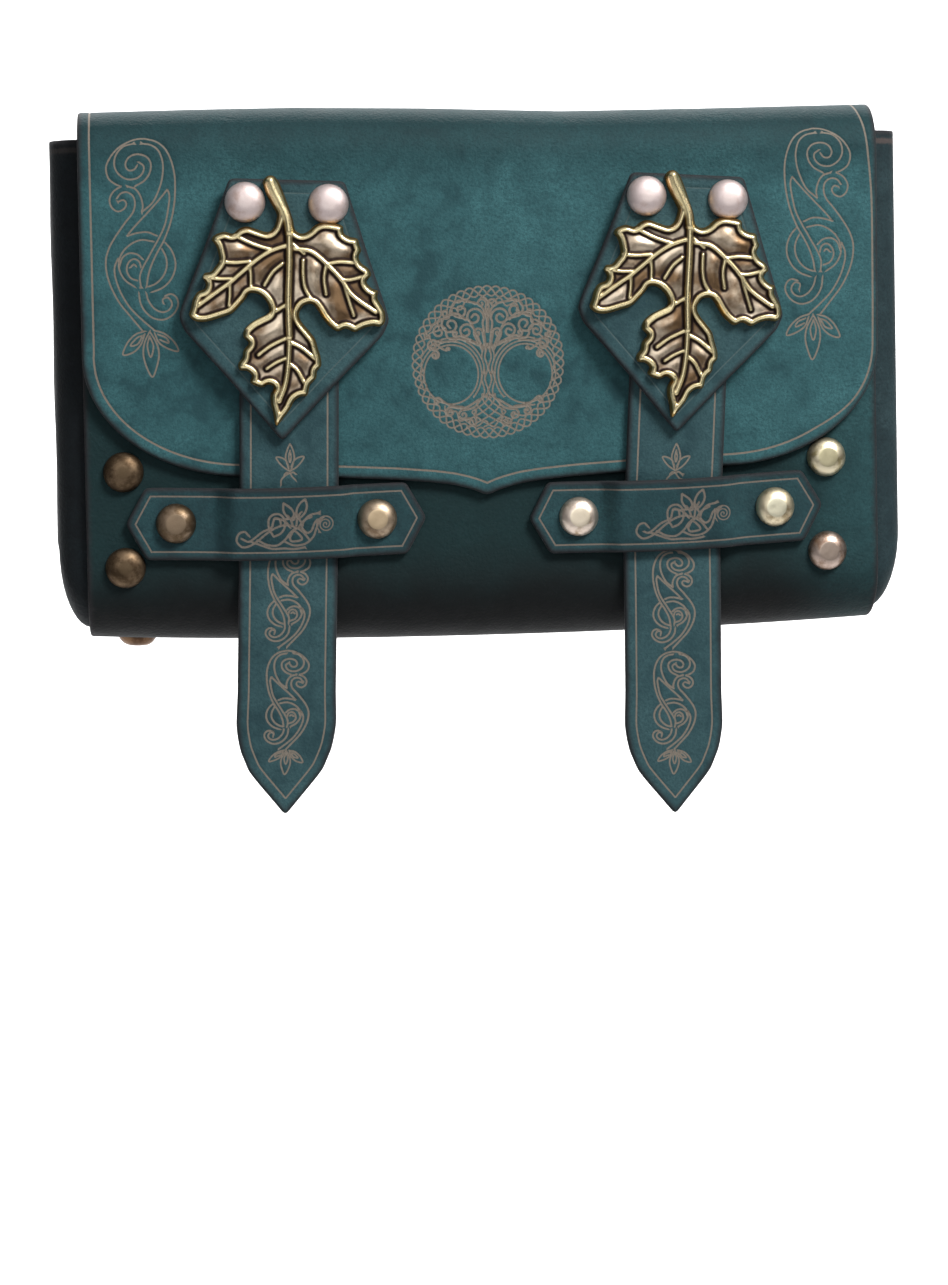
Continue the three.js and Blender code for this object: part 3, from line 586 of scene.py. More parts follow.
def leather_material(name, tones, rough=0.7, line=(0.155, 0.135, 0.112), panel=False):
    """Dyed leather with burnt edges, tooled lines and a rough flesh side. tones are light, mid and dark."""
    light, mid, dark = tones
    n = Nodes(name)
    cloud = n.noise(24.0, 4.0, 0.62, 0.4)
    mottle = n.noise(150.0, 4.0, 0.6, 0.3)
    speck = n.noise(1300.0, 3.0, 0.7)
    tone = n.add(n.times(cloud, 0.5), n.times(mottle, 0.5))
    colour = n.blend(n.ramp(tone, 0.36, 0.5), dark, mid)
    colour = n.blend(n.ramp(tone, 0.48, 0.66), colour, light)
    colour = n.blend(n.ramp(speck, 0.4, 0.7, 0.0, 0.62), colour, dark)
    colour = n.blend(n.ramp(n.noise(2700.0, 2.0, 0.6), 0.45, 0.8, 0.0, 0.7), colour, dark)
    # On the front panel, panel_shade adds its deeper dye and painted shade.
    if panel:
        colour = panel_shade(n, colour, cloud)
    edge = n.attribute("edge")
    rim = n.ramp(n.add(edge, n.times(mottle, 0.3)), 0.2, 0.95, 1.0, 0.0)
    colour = n.blend(n.times(rim, 0.9), colour, (0.016, 0.015, 0.017))
    tooled = n.attribute("tooled")
    mark = n.ramp(n.add(tooled, n.times(n.add(speck, -0.5), 0.5)), 0.12, 0.5)
    colour = n.blend(mark, colour, line)
    flesh = n.ramp(tooled, -0.9, -0.1, 1.0, 0.0)
    colour = n.blend(flesh, colour, n.blend(speck, (0.03, 0.027, 0.026), (0.07, 0.06, 0.052)))
    grain = n.cells(1500.0)
    pores = n.noise(3600.0, 2.0, 0.6)
    crease = n.noise(1.0, 3.0, 0.6, 1.2, n.stretched((190.0, 190.0, 420.0)))
    n.bump((
        (n.times(n.ramp(crease, 0.35, 0.62), n.ramp(cloud, 0.42, 0.62, 0.15, 1.0)), 0.045),
        (n.add(grain, n.times(pores, 0.6)), 0.09),
    ))
    roughness = n.add(n.times(mottle, 0.18), rough - 0.09)
    return n.finish(colour, roughness, 0.0, Specular_IOR_Level=0.16, Sheen_Weight=0.03, Sheen_Roughness=0.5)


def panel_shade(n, colour, cloud):
    """The front panel's dye is deeper than the flap's, with painted shade over it that eases near its right
    edge, painted shade going black towards the base, and painted shade over the hide's top fold.
    """
    across, deep, up = n.place_parts()
    on_front = n.times(n.ramp(deep, -0.0496, -0.0492), n.ramp(deep, -0.012, -0.02))
    on_front = n.times(on_front, n.ramp(up, 0.036, 0.03))
    # Deeper dye and painted shade over the front panel, less of it near its right edge.
    on_panel = n.times(on_front, n.ramp(across, 0.07, 0.097, 1.0, 0.55))
    colour = n.blend(n.times(on_panel, 0.9), colour, (0.0025, 0.0125, 0.0135))
    # Painted shade over the top fold, on the whole hide.
    colour = n.blend(n.ramp(up, 0.022, 0.045, 0.0, 0.8), colour, (0.003, 0.015, 0.018))
    # Painted shade going near black where the front panel turns under the base.
    low = n.ramp(n.add(up, n.times(cloud, 0.016)), -0.05, -0.074)
    return n.blend(n.times(on_panel, low), colour, (0.002, 0.003, 0.0035))


# Light, mid and dark tones of each leather
FLAP_TEAL = ((0.038, 0.118, 0.13), (0.026, 0.086, 0.096), (0.013, 0.048, 0.056))
STRAP_TEAL = ((0.04, 0.092, 0.102), (0.028, 0.068, 0.077), (0.015, 0.042, 0.05))
KEEPER_TEAL = ((0.02, 0.062, 0.07), (0.014, 0.044, 0.051), (0.009, 0.028, 0.034))
# Tones of the left gusset: a near-black copy of the side leather, painted shade on the side away from the
# light.
PAINTED_SHADE_TEAL = ((0.006, 0.0105, 0.013), (0.004, 0.0065, 0.0085), (0.002, 0.0035, 0.005))
SIDE_TEAL = ((0.022, 0.044, 0.05), (0.014, 0.029, 0.034), (0.008, 0.017, 0.021))

hide_leather = leather_material("leather_hide", FLAP_TEAL, panel=True)
patch_leather = leather_material("leather_patch", STRAP_TEAL, line=(0.05, 0.085, 0.09))
strap_leather = leather_material("leather_strap", STRAP_TEAL)
keeper_leather = leather_material("leather_keeper", KEEPER_TEAL, line=(0.13, 0.112, 0.095))
gusset_leathers = {
    # The left gusset's leather and tooled line are darker than the right's as painted shade.
    "left": leather_material("leather_gusset_left_painted_shade", PAINTED_SHADE_TEAL, line=(0.02, 0.018, 0.018)),
    "right": leather_material("leather_gusset_right", SIDE_TEAL, line=(0.06, 0.05, 0.048)),
}
loop_leather = leather_material("leather_loop", SIDE_TEAL, line=(0.06, 0.05, 0.048))


def brass_material():
    """Antique cast brass: pale worn crests, golden brown flanks, dark grooves and bronze hollows."""
    n = Nodes("brass_cast")
    ridge = n.attribute("ridge")
    groove = n.attribute("groove")
    flank = n.attribute("flank")
    broad = n.noise(95.0, 2.0, 0.5)
    patina = n.noise(420.0, 3.0, 0.55)
    fine = n.noise(2600.0, 3.0, 0.6)
    cell = n.blend(n.ramp(n.add(broad, n.times(patina, 0.25)), 0.45, 0.7),
                   (0.68, 0.57, 0.44), (0.2, 0.125, 0.068))
    golden = n.blend(patina, (0.2, 0.11, 0.03), (0.44, 0.29, 0.1))
    colour = n.blend(n.maths("MAXIMUM", flank, n.ramp(ridge, 0.05, 0.3)), cell, golden)
    colour = n.blend(n.ramp(ridge, 0.5, 0.95), colour, (0.93, 0.79, 0.46))
    dirt = n.ramp(n.add(groove, n.times(n.add(patina, -0.5), 0.3)), 0.3, 0.85)
    colour = n.blend(dirt, colour, (0.03, 0.02, 0.018))
    roughness = n.add(n.times(dirt, 0.2), n.ramp(fine, 0.3, 0.7, 0.36, 0.46))
    n.bump(((patina, 0.02), (fine, 0.012)))
    return n.finish(colour, n.add(roughness, n.times(ridge, -0.1)), 1.0)


def rivet_material(name, face, disc, old, tarnish, rough=0.42):
    """A worn cap: its slope, the flat disc on top in a colour that is a painted reflection of the light, old
    metal in patches, and darker round the rim.
    """
    n = Nodes(name)
    high = n.attribute("high")
    patina = n.noise(260.0, 4.0, 0.65)
    fine = n.noise(3200.0, 3.0, 0.6)
    colour = n.blend(n.ramp(n.add(patina, tarnish), 0.4, 0.66), face, old)
    # The disc's colour is a painted reflection of the light on the flat top.
    colour = n.blend(n.times(n.ramp(high, 0.96, 0.995), 0.8), colour, disc)
    # Darker round the rim, where the cap turns down to the leather.
    colour = n.blend(n.ramp(high, 0.0, 0.3, 1.0, 0.0), colour, tuple(c * 0.5 for c in old))
    n.bump(((patina, 0.03), (fine, 0.012)))
    return n.finish(colour, n.ramp(fine, 0.3, 0.7, rough - 0.06, rough + 0.06), 1.0)


cast_brass = brass_material()
# Each cap's metal: its slope, its disc, whose colour is a painted reflection of the light on the flat top, and
# its old metal, then its tarnish and roughness
SILVER = rivet_material("rivet_silver", (0.62, 0.53, 0.52), (0.68, 0.59, 0.57), (0.5, 0.38, 0.34), -0.08, 0.58)
BROWN = rivet_material("rivet_brown", (0.17, 0.118, 0.073), (0.12, 0.084, 0.05), (0.07, 0.046, 0.027),
                       0.05, 0.5)
UMBER = rivet_material("rivet_umber", (0.26, 0.19, 0.13), (0.27, 0.2, 0.135), (0.11, 0.075, 0.045), 0.04, 0.48)
TAN = rivet_material("rivet_tan", (0.42, 0.33, 0.24), (0.62, 0.48, 0.31), (0.2, 0.14, 0.09), -0.02, 0.46)
RUSTY = rivet_material("rivet_rusty", (0.2, 0.12, 0.07), (0.2, 0.12, 0.07), (0.09, 0.05, 0.03), 0.06)
PEACH = rivet_material("rivet_peach", (0.82, 0.7, 0.6), (1.0, 0.88, 0.68), (0.4, 0.3, 0.2), -0.06)
PALE = rivet_material("rivet_pale", (0.8, 0.7, 0.5), (1.0, 0.96, 0.74), (0.4, 0.31, 0.18), -0.04)
OLIVE = rivet_material("rivet_olive", (0.78, 0.7, 0.51), (0.66, 0.6, 0.38), (0.4, 0.33, 0.17), -0.04)
ROSE = rivet_material("rivet_rose", (0.55, 0.44, 0.38), (0.5, 0.4, 0.33), (0.27, 0.18, 0.13), 0.0)
OTHER_CAPS = {
    "base_rivet_left": RUSTY,
    "keeper_rivet_left_a": UMBER,
    "keeper_rivet_left_b": TAN,
    "keeper_rivet_right_a": PEACH,
    "keeper_rivet_right_b": PALE,
    "side_rivet_right_upper": OLIVE,
    "side_rivet_right_lower": ROSE,
}


# Ornament, as listed points
# A scroll with a great spiral, a blade through a ring and a hanging flower, on squares of 0.05 mm
SCROLL = (
    ((205, 70), (150, 85), (105, 120), (75, 175), (58, 240), (54, 300), (57, 370), (68, 440), (86, 505),
     (112, 570), (142, 625), (168, 680), (186, 735), (194, 790)),
    ((205, 70), (240, 72), (280, 85), (330, 115), (370, 160), (392, 210), (382, 262), (350, 290), (316, 303)),
    ((215, 425), (165, 380), (135, 320), (118, 262), (114, 195), (133, 135), (170, 104), (212, 96)),
    ((262, 96), (308, 110), (343, 150), (352, 200), (332, 242), (288, 268), (240, 262), (212, 235),
     (208, 205), (232, 186)),
    ((252, 302), (205, 274), (178, 235), (174, 190), (198, 158), (243, 148), (282, 164), (298, 198),
     (284, 224), (256, 222), (240, 202)),
    ((218, 425), (213, 395), (224, 350), (248, 316), (284, 303)),
    ((345, 545), (300, 480), (262, 430), (251, 385), (262, 348), (292, 330), (322, 338), (340, 362)),
    ((318, 303), (354, 325), (375, 364), (366, 404), (335, 425), (304, 411), (293, 386), (308, 368),
     (330, 376)),
    ((92, 315), (82, 350), (90, 420), (105, 490), (133, 553), (160, 602), (186, 650), (213, 700), (228, 745),
     (224, 790)),
    ((92, 315), (128, 360), (190, 430), (250, 495), (292, 546)),
    ((292, 546), (240, 530), (190, 526), (150, 541)),
    ((104, 576), (74, 612), (55, 662), (56, 712), (78, 762), (118, 800), (165, 820)),
    ((165, 571), (220, 564), (270, 584), (310, 622), (331, 672), (325, 722), (298, 765), (255, 794)),
    ((120, 606), (99, 652), (97, 700), (116, 745), (150, 779), (186, 794)),
    ((213, 660), (240, 636), (280, 630), (313, 652), (326, 690)),
    ((222, 700), (232, 670), (260, 658), (286, 680), (292, 718), (272, 752), (238, 765)),
    ((274, 700), (258, 684), (246, 694)),
    ((345, 545), (376, 600), (394, 662), (390, 730), (368, 800), (330, 872), (280, 935), (214, 1014)),
    ((335, 655), (352, 704), (345, 762), (318, 832), (275, 900), (215, 960), (156, 1010)),
    ((196, 828), (185, 866), (155, 904), (115, 920), (82, 905), (71, 876), (90, 848), (116, 856),
     (112, 880)),
    ((233, 826), (225, 876), (200, 920), (160, 950), (110, 956), (66, 931), (41, 888), (48, 848),
     (75, 830), (106, 840)),
)
FLOWER = (
    ((178, 1018), (146, 1075), (135, 1132), (148, 1196), (168, 1240), (195, 1195), (212, 1130), (206, 1072),
     (182, 1018)),
    ((180, 1040), (162, 1090), (176, 1142), (192, 1090), (182, 1040)),
    ((160, 1010), (110, 1025), (62, 1065), (40, 1112), (90, 1100), (135, 1070), (156, 1024)),
    ((140, 1030), (100, 1046), (88, 1072), (130, 1056)),
    ((204, 1014), (250, 1030), (290, 1072), (312, 1130), (264, 1120), (225, 1082), (204, 1026)),
    ((214, 1036), (242, 1046), (276, 1086), (240, 1078), (220, 1046)),
)
BLOOM = (
    ((100, 0), (80, 45), (70, 95), (84, 150), (100, 190), (118, 148), (130, 95), (120, 45), (100, 0)),
    ((100, 50), (92, 90), (100, 130), (108, 92), (100, 50)),
    ((92, 185), (60, 165), (25, 130), (5, 92), (45, 98), (75, 120), (92, 160)),
    ((108, 185), (142, 165), (176, 130), (196, 92), (155, 98), (126, 120), (108, 160)),
    ((60, 214), (80, 198), (100, 206), (120, 198), (142, 212)),
    ((100, 200), (112, 224), (136, 250)),
    ((92, 206), (64, 222), (40, 250), (38, 285)),
)
# A knot with petals over it and a coiled disc at its end, on squares of 0.05 mm
KNOT = (
    ((425, 268), (405, 250), (376, 262), (366, 298), (392, 326), (430, 321), (470, 296), (512, 262), (556, 234),
     (604, 220), (650, 228), (692, 254), (724, 294)),
    ((404, 292), (424, 300), (452, 284), (490, 254), (530, 236), (545, 222)),
    ((470, 292), (515, 316), (565, 320), (606, 292), (634, 256), (660, 240)),
    ((548, 274), (528, 236), (526, 192), (548, 166), (582, 166), (604, 192), (604, 232), (582, 262),
     (548, 276)),
    ((545, 215), (556, 184), (580, 190), (586, 216)),
    ((600, 300), (650, 322), (704, 316), (744, 284), (762, 240), (776, 206), (800, 184)),
    ((690, 240), (716, 262), (738, 250), (752, 216), (768, 196)),
    ((628, 284), (652, 250), (690, 292), (640, 302), (628, 284)),
    ((600, 108), (600, 150), (624, 184), (654, 192), (644, 146), (600, 108)),
    ((708, 92), (680, 116), (664, 152), (672, 188), (702, 166), (716, 130), (708, 92)),
    ((612, 190), (640, 186), (662, 160), (680, 196), (694, 224)),
    ((768, 166), (730, 174), (702, 200), (690, 232)),
    ((632, 232), (612, 205), (585, 190), (560, 186)),
    ((646, 226), (636, 196), (622, 172)),
    ((662, 224), (668, 190), (684, 160)),
    ((676, 228), (702, 198), (740, 182)),
    ((640, 250), (662, 236), (690, 240), (712, 262)),
    ((440, 300), (486, 318), (540, 336), (600, 336), (650, 340), (700, 334)),
)


def coil(cx, cy, outer, inner, turns, start=0.0, way=1):
    """A spiral drawn inwards from its outer end."""
    n = max(8, int(turns * 14))
    out = []
    for i in range(n + 1):
        share = i / n
        angle = start + way * 2 * math.pi * turns * share
        r = mix(outer, inner, share)
        out.append((cx + r * math.cos(angle), cy + r * math.sin(angle)))
    return out


def placed(curves, anchor, at, width, across=0.05, down=0.05, turn=0.0, step=0.6):
    """Curves drawn on squares, y down, with their anchor set at a spot on the leather. A minus sign mirrors."""
    out = []
    c, s = math.cos(turn), math.sin(turn)
    for curve in curves:
        p = np.array(curve, float) - anchor
        x, y = p[:, 0] * across, -p[:, 1] * down
        out.append((spline(np.column_stack([at[0] + x * c - y * s, at[1] + x * s + y * c]), step), width))
    return out


def bordered(outline, inset, smooth_by=0):
    """A line that runs inside a closed outline at an even distance."""
    line = outline + normals_of(outline) * inset
    for _ in range(smooth_by):
        line = (np.roll(line, 1, 0) + line + np.roll(line, -1, 0)) / 3
    far = nearest(line, broken(outline, 0.3, closed=True)) > inset * 0.93
    return np.vstack([line[far], line[far][:1]])


# Curls of the crown and roots, in mm from the medallion's centre: stem, then the coil's centre and turns
CURLS = (
    (((0.5, 2.6), (0.8, 6.6), (1.2, 9.8)), (3.3, 11.2), -1.5),
    (((0.2, 7.6), (0.3, 11.4), (2.0, 14.3), (5.6, 15.2)), (6.9, 13.0), -1.4),
    (((1.2, 3.2), (2.6, 6.4), (4.6, 10.3), (7.4, 11.3)), (9.3, 9.4), -1.5),
    (((1.4, 3.0), (2.6, 5.2), (3.4, 7.0)), (5.4, 7.7), -1.4),
    (((2.4, 4.2), (6.0, 5.7), (9.4, 5.9), (10.4, 7.0)), (12.2, 7.7), -1.4),
    (((0.9, 5.0), (1.2, 6.8), (1.4, 7.8)), (2.5, 7.3), -1.1),
    (((8.0, 5.4), (11.4, 5.2), (12.8, 5.4)), (13.8, 4.2), -1.2),
    (((5.6, 10.6), (7.2, 12.0), (9.2, 12.3)), (10.4, 12.4), 1.1),
    (((0.1, 10.6), (0.2, 12.6), (0.4, 13.8)), (1.5, 14.6), -1.2),
    (((3.0, 4.9), (6.2, 6.4), (7.4, 6.5)), (8.0, 7.2), 1.0),
    (((12.0, 10.4), (13.6, 9.4), (14.6, 8.0)), (14.9, 6.8), -0.9),
    (((14.6, 4.0), (13.4, 3.4), (12.6, 2.7)), (13.3, 1.9), 1.2),
    (((13.0, 4.8), (11.6, 3.6), (10.4, 3.0)), (9.9, 3.3), 0.8),
    (((1.4, -8.6), (3.6, -11.2), (6.0, -11.9)), (6.4, -13.2), -1.3),
    (((2.4, -9.4), (6.0, -11.4), (9.0, -11.2)), (9.6, -12.3), -1.3),
    (((6.6, -11.2), (10.0, -10.6), (12.2, -9.0)), (12.9, -9.6), -1.1),
    (((3.2, -12.2), (3.6, -13.6), (3.2, -14.4)), (4.2, -14.9), 1.1),
)
OVAL = (9.3, -3.0, 6.8, 7.4)


def curl(stem, centre, turns, sign):
    """A stem that runs on into a coil."""
    dx, dz = stem[-1][0] - centre[0], stem[-1][1] - centre[1]
    radius = math.hypot(dx, dz)
    way = math.copysign(1, turns)
    tail = coil(centre[0], centre[1], radius, radius * 0.2, abs(turns), math.atan2(dz, dx), way)
    return spline([(sign * x, z) for x, z in list(stem[:-1]) + tail], 0.4)


def medallion():
    """A tree in a plaited ring: roots of lattice, a trunk between two open ovals, and a crown of curls."""
    out = []
    angles = np.linspace(0, 2 * math.pi, 420)
    for phase in (0.0, 2.09, 4.19):
        r = 17.75 + 1.25 * np.sin(17 * angles + phase)
        out.append(np.column_stack([r * np.cos(angles), r * np.sin(angles)]))
    x0, z0, wide, high = OVAL
    for first, last in ((0.3, math.pi - 0.3), (math.pi + 0.78, 2 * math.pi - 0.78)):
        arc = np.linspace(first, last, 150)
        r = 15.5 + 0.75 * np.sin(24 * arc)
        out.append(np.column_stack([r * np.cos(arc), r * np.sin(arc)]))
    for sign in (-1, 1):
        for grow, first, last in ((0.0, 0.0, 2 * math.pi), (0.85, -0.5, 3.9), (1.7, 0.5, 3.3)):
            arc = [(sign * (x0 + (wide + grow) * math.cos(a)), z0 + (high + grow) * math.sin(a))
                   for a in np.linspace(first, last, 44)]
            out.append(spline(arc, 0.5))
        for off, sway in ((0.45, 0.35), (1.3, 0.3)):
            strand = [(sign * (off + sway * math.sin(z * 1.1)), z) for z in np.linspace(-9.0, 4.6, 16)]
            out.append(spline(strand, 0.5))
        for phase in (0.0, 0.33, 0.67):
            down = np.linspace(0, 1, 21)
            zigzag = np.abs(((down * 1.25 + phase * 2) % 2) - 1) * 2 - 1
            out.append(spline(np.column_stack([sign * zigzag * (1.6 + 5.2 * down), -8.0 - 8.2 * down]), 0.4))
    curls = [curl(stem, centre, turns, sign) for sign in (-1, 1) for stem, centre, turns in CURLS]
    return [(line, 0.62) for line in out] + [(line, 0.85) for line in curls]


# The flap's edge between its corners: how far it hangs, by the share of the way out
FLAP_POINT = np.array([(0.0, 1.0), (0.035, 0.82), (0.07, 0.7), (0.14, 0.52), (0.22, 0.41), (0.38, 0.27),
                       (0.62, 0.14), (1.0, 0.0)])
CORNER_X = 60.0
CORNER_WIDE = 40.0
CORNER_HIGH = 30.0
POINT_DROP = 6.2


def flap_edge(x):
    """Height of the flap's lower edge."""
    out = abs(x)
    if out > CORNER_X:
        share = min(1.0, (out - CORNER_X) / CORNER_WIDE)
        return FLAP_EDGE_Z + CORNER_HIGH * (1 - math.sqrt(1 - share * share))
    return FLAP_EDGE_Z - POINT_DROP * float(np.interp(out / CORNER_X, FLAP_POINT[:, 0], FLAP_POINT[:, 1]))


def flap_v(z):
    """Where a height on the flap lies along the hide."""
    return -(FLAP_S + (FLAP_START_Z - z) / math.cos(FLAP_LEAN))


def lower_edge():
    """The flap's lower edge from left to right, with its corners taken off."""
    corner = [CORNER_X + CORNER_WIDE * math.sin(a) for a in np.linspace(0, QUARTER, 34)]
    middle = list(np.linspace(-CORNER_X, CORNER_X, 121))
    across = [-x for x in reversed(corner)] + middle[1:-1] + corner
    line = np.array([(x, flap_v(flap_edge(x))) for x in across])
    for _ in range(2):
        line[1:-1] = (line[:-2] + 2 * line[1:-1] + line[2:]) / 4
    return line


def flap_border(edge):
    """The tooled line round the flap and over its fold, nearer to the edge at the lower right."""
    inset = np.where(edge[:, 0] > 0, mix(2.9, 1.5, smooth((edge[:, 0] - 84.0) / 14.0)), 2.9)
    line = edge + normals_of(edge, closed=False) * inset[:, None]
    line = line[nearest(line, broken(edge, 0.3)) > inset * 0.93]
    over_top = -300.0
    left = broken([(-97.0, over_top), (-97.0, line[0][1] + 1)], 1.0)
    right = spline([
        (line[-1][0], line[-1][1] + 1), (98.6, flap_v(-4)), (98.6, flap_v(18)), (98.3, flap_v(26)),
        (97.7, flap_v(33)), (97.0, -335.0), (95.6, -326.0), (95.0, -316.0), (95.0, over_top)], 1.0)
    return np.vstack([left, line, right])


def hide():
    """The one hide, flat, with its borders, scrolls and medallion."""
    edge = lower_edge()
    outline = np.vstack([
        edge,
        broken([(HALF, edge[-1][1]), (HALF, 0.0)], 1.3)[1:],
        broken([(HALF, 0.0), (-HALF, 0.0)], 2.5)[1:],
        broken([(-HALF, 0.0), (-HALF, edge[0][1])], 1.3)[1:-1],
    ])
    lines = [(flap_border(edge), 0.7)]
    for sign, spot in ((1, (86.3, flap_v(33.0))), (-1, (-86.1, flap_v(31.8)))):
        lines += placed(SCROLL + FLOWER, (255, 210), spot, 0.62, 0.05 * sign, 0.05, 0.02 * sign)
    for line, width in medallion():
        lines.append((np.column_stack([line[:, 0] + 0.7, flap_v(line[:, 1] - 17.6)]), width))
    boxes = [(-HALF, HALF, low, high, step) for low, high, step in (
        (flap_v(-55), flap_v(60), 1.5), (flap_v(60), -278, 1.8), (-278, -170, 4.5), (-170, -106, 2.0),
        (-106, 0, 2.6))]
    leather("pouch_hide", outline, HIDE, hide_map, boxes, hide_leather, lines, 0.16, "body")


hide()

# Half widths as shares: of a patch by share of its length, and of a strap by share of its tip
PATCH_ROWS = ((0.0, 0.505), (0.012, 0.535), (0.03, 0.548), (0.28, 0.78), (0.47, 0.955), (0.53, 1.0),
              (0.585, 0.945), (0.78, 0.49), (0.985, 0.035), (1.0, 0.0))
STRAP_WIDTHS = ((0.0, 1.02), (0.14, 0.985), (0.28, 0.93), (0.5, 0.76), (0.6, 0.62), (1.0, 0.0))


def patch_outline():
    right = []
    for down, wide in PATCH_ROWS:
        narrow = mix(28.0 / (52.0 * 0.515), 1.0, min(1.0, down / 0.3))
        right.append((PATCH_HALF * wide * narrow, -PATCH_LENGTH * down))
    left = [(-x, y) for x, y in right[:-1]]
    return softened(broken(left + right[::-1], 0.8, closed=True))


def strap_outline(side):
    shoulder = strap_tip(side) + STRAP_TIP
    rows = [(26.8, STRAP_HEAD_HALF), (14.8, STRAP_HEAD_HALF), (8.8, STRAP_HALF), (shoulder + 8, STRAP_HALF)]
    rows += [(shoulder - STRAP_TIP * down, STRAP_HALF * wide) for down, wide in STRAP_WIDTHS]
    left = [(-x, z) for z, x in rows]
    right = [(x, z) for z, x in reversed(rows[:-1])]
    return softened(broken(left + right, 0.9, closed=True))


def keeper_outline():
    flat, half, rise = KEEPER_FLAT, KEEPER_HALF, KEEPER_RISE
    corners = ((half, 0.0), (flat, rise), (-flat, rise), (-half, 0.0), (-flat, -rise), (flat, -rise))
    return softened(broken(corners, 0.8, closed=True))


def patch(side):
    outline = patch_outline()
    leather("patch_" + side["name"] + "_shield", outline, PATCH, patch_map(side), ((-27, 27, -66, 1, 1.3),),
            patch_leather, [(bordered(outline, 3.3), 0.5)], 0.12, "patch_" + side["name"])


def strap(side):
    """A strap with a bloom above the keeper and scrolls that repeat down to a hanging flower."""
    outline = strap_outline(side)
    tip = strap_tip(side)
    lines = [(bordered(outline, 2.8, 1), 0.6)]
    lines += placed(BLOOM, (100, 200), (0.2, -45.4 - 1.0 * side["sign"]), 0.6, 0.036, 0.036, 0.0, 0.35)
    lines += placed(FLOWER, (178, 1018), (0.0, tip + 16.3), 0.6, 0.031, 0.0265, 0.0, 0.35)
    for k in range(2):
        lines += placed(SCROLL, (224, 1018), (0.2, tip + 16.6 + 25.8 * k), 0.68, 0.031, 0.0263, 0.0, 0.35)
    leather("strap_" + side["name"] + "_band", outline, STRAP, strap_map(side), ((-14, 14, tip, 27, 1.3),),
            strap_leather, lines, 0.12, "strap_" + side["name"])


def keeper(side):
    """A keeper with its border, its knot and the coiled disc at the knot's end."""
    outline = keeper_outline()
    lines = [(bordered(outline, 2.1), 0.6)]
    spot = (1.4 - 0.4 * side["sign"], -0.6)
    disc = coil(808, 222, 46, 4, 2.6, 2.4)
    for curves, width in ((KNOT, 0.78), ((disc,), 0.5)):
        lines += placed(curves, (604, 230), spot, width, 0.05, 0.05, 0.0, 0.4)
    leather("keeper_" + side["name"] + "_band", outline, KEEPER, keeper_map(side), ((-38, 38, -9.5, 9.5, 1.2),),
            keeper_leather, lines, 0.12, "keeper_" + side["name"])


for side in SIDES:
    patch(side)
    strap(side)
    keeper(side)


def loop_path():
    """A belt loop from its lower tab, out round the belt and back to its upper tab."""
    turn = math.radians(62)
    inner, outer = 1.6, 4.1
    slope = (5.7 - (inner + outer) * (1 - math.cos(turn))) / math.sin(turn)
    ramp = (inner + outer) * math.sin(turn) + slope * math.cos(turn)
    tab = 10.0
    belt = 40.0
    return FoldPath(BACK_Y + GAP + LOOP, -(belt / 2 + ramp + tab), QUARTER, (
        (tab, -turn, inner), (slope, turn, outer), (belt, turn, outer), (slope, -turn, inner), (tab, 0.0, 0.0)))


def belt_loop(side):
    path = loop_path()
    length = path.length
    cut = 0.8
    flat = LOOP_HALF - cut

    def mapper(u, v, w):
        y, z = path.at(v, w)
        return np.column_stack([side["sign"] * LOOP_X - u, y, z])

    corners = ((-flat, 0.0), (flat, 0.0), (LOOP_HALF, cut), (LOOP_HALF, length - cut), (flat, length),
               (-flat, length), (-LOOP_HALF, length - cut), (-LOOP_HALF, cut))
    outline = broken(corners, 1.0, closed=True)
    leather("belt_loop_" + side["name"] + "_band", outline, LOOP, mapper, ((-14, 14, 0, length, 1.3),),
            loop_leather, [(bordered(outline, 2.4), 0.6)], 0.12, "belt_loop_" + side["name"])


for side in SIDES:
    belt_loop(side)


# Gussets: end walls that bulge out, with flanges inside the hide
GUSSET = 2.0
FLANGE = 17.0
MOUTH = TOP_Z - 7.0
MOUTH_BACK = 36.0
MOUTH_STEPS = np.array([0.0, 1.2, 2.1, 2.6, 3.1, 4.0])
CROWN = 0.8
WALL = 8.1 - CROWN
WALL_BEND = 7.6
WALL_RISE = 20.0
WALL_STEPS = 15


def gusset_outline(sign, inset, rise, out):
    """A line down the front, round the base and up the back, at a distance inside the hide."""
    left, right = FRONT_Y + HIDE + GAP + inset, BACK_Y - HIDE - GAP - inset
    base = BASE_Z + HIDE + GAP + rise
    front, back = max(3.5, 12.7 - inset), max(3.5, 11.7 - inset)
    x = sign * (HALF + out)
    heights = np.concatenate([MOUTH - MOUTH_STEPS, np.linspace(MOUTH - 7, base + front, 15)])
    points = [(x, left, z) for z in heights[:-1]]
    bend = np.linspace(0, QUARTER, 8)
    points += [(x, left + front * (1 - math.cos(a)), base + front * (1 - math.sin(a))) for a in bend]
    points += [(x, right - back * (1 - math.cos(a)), base + back * (1 - math.sin(a))) for a in bend[::-1]]
    heights[:6] += MOUTH_BACK - MOUTH
    heights[-1] = base + back
    points += [(x, right, z) for z in heights[::-1][1:]]
    return np.array(points)


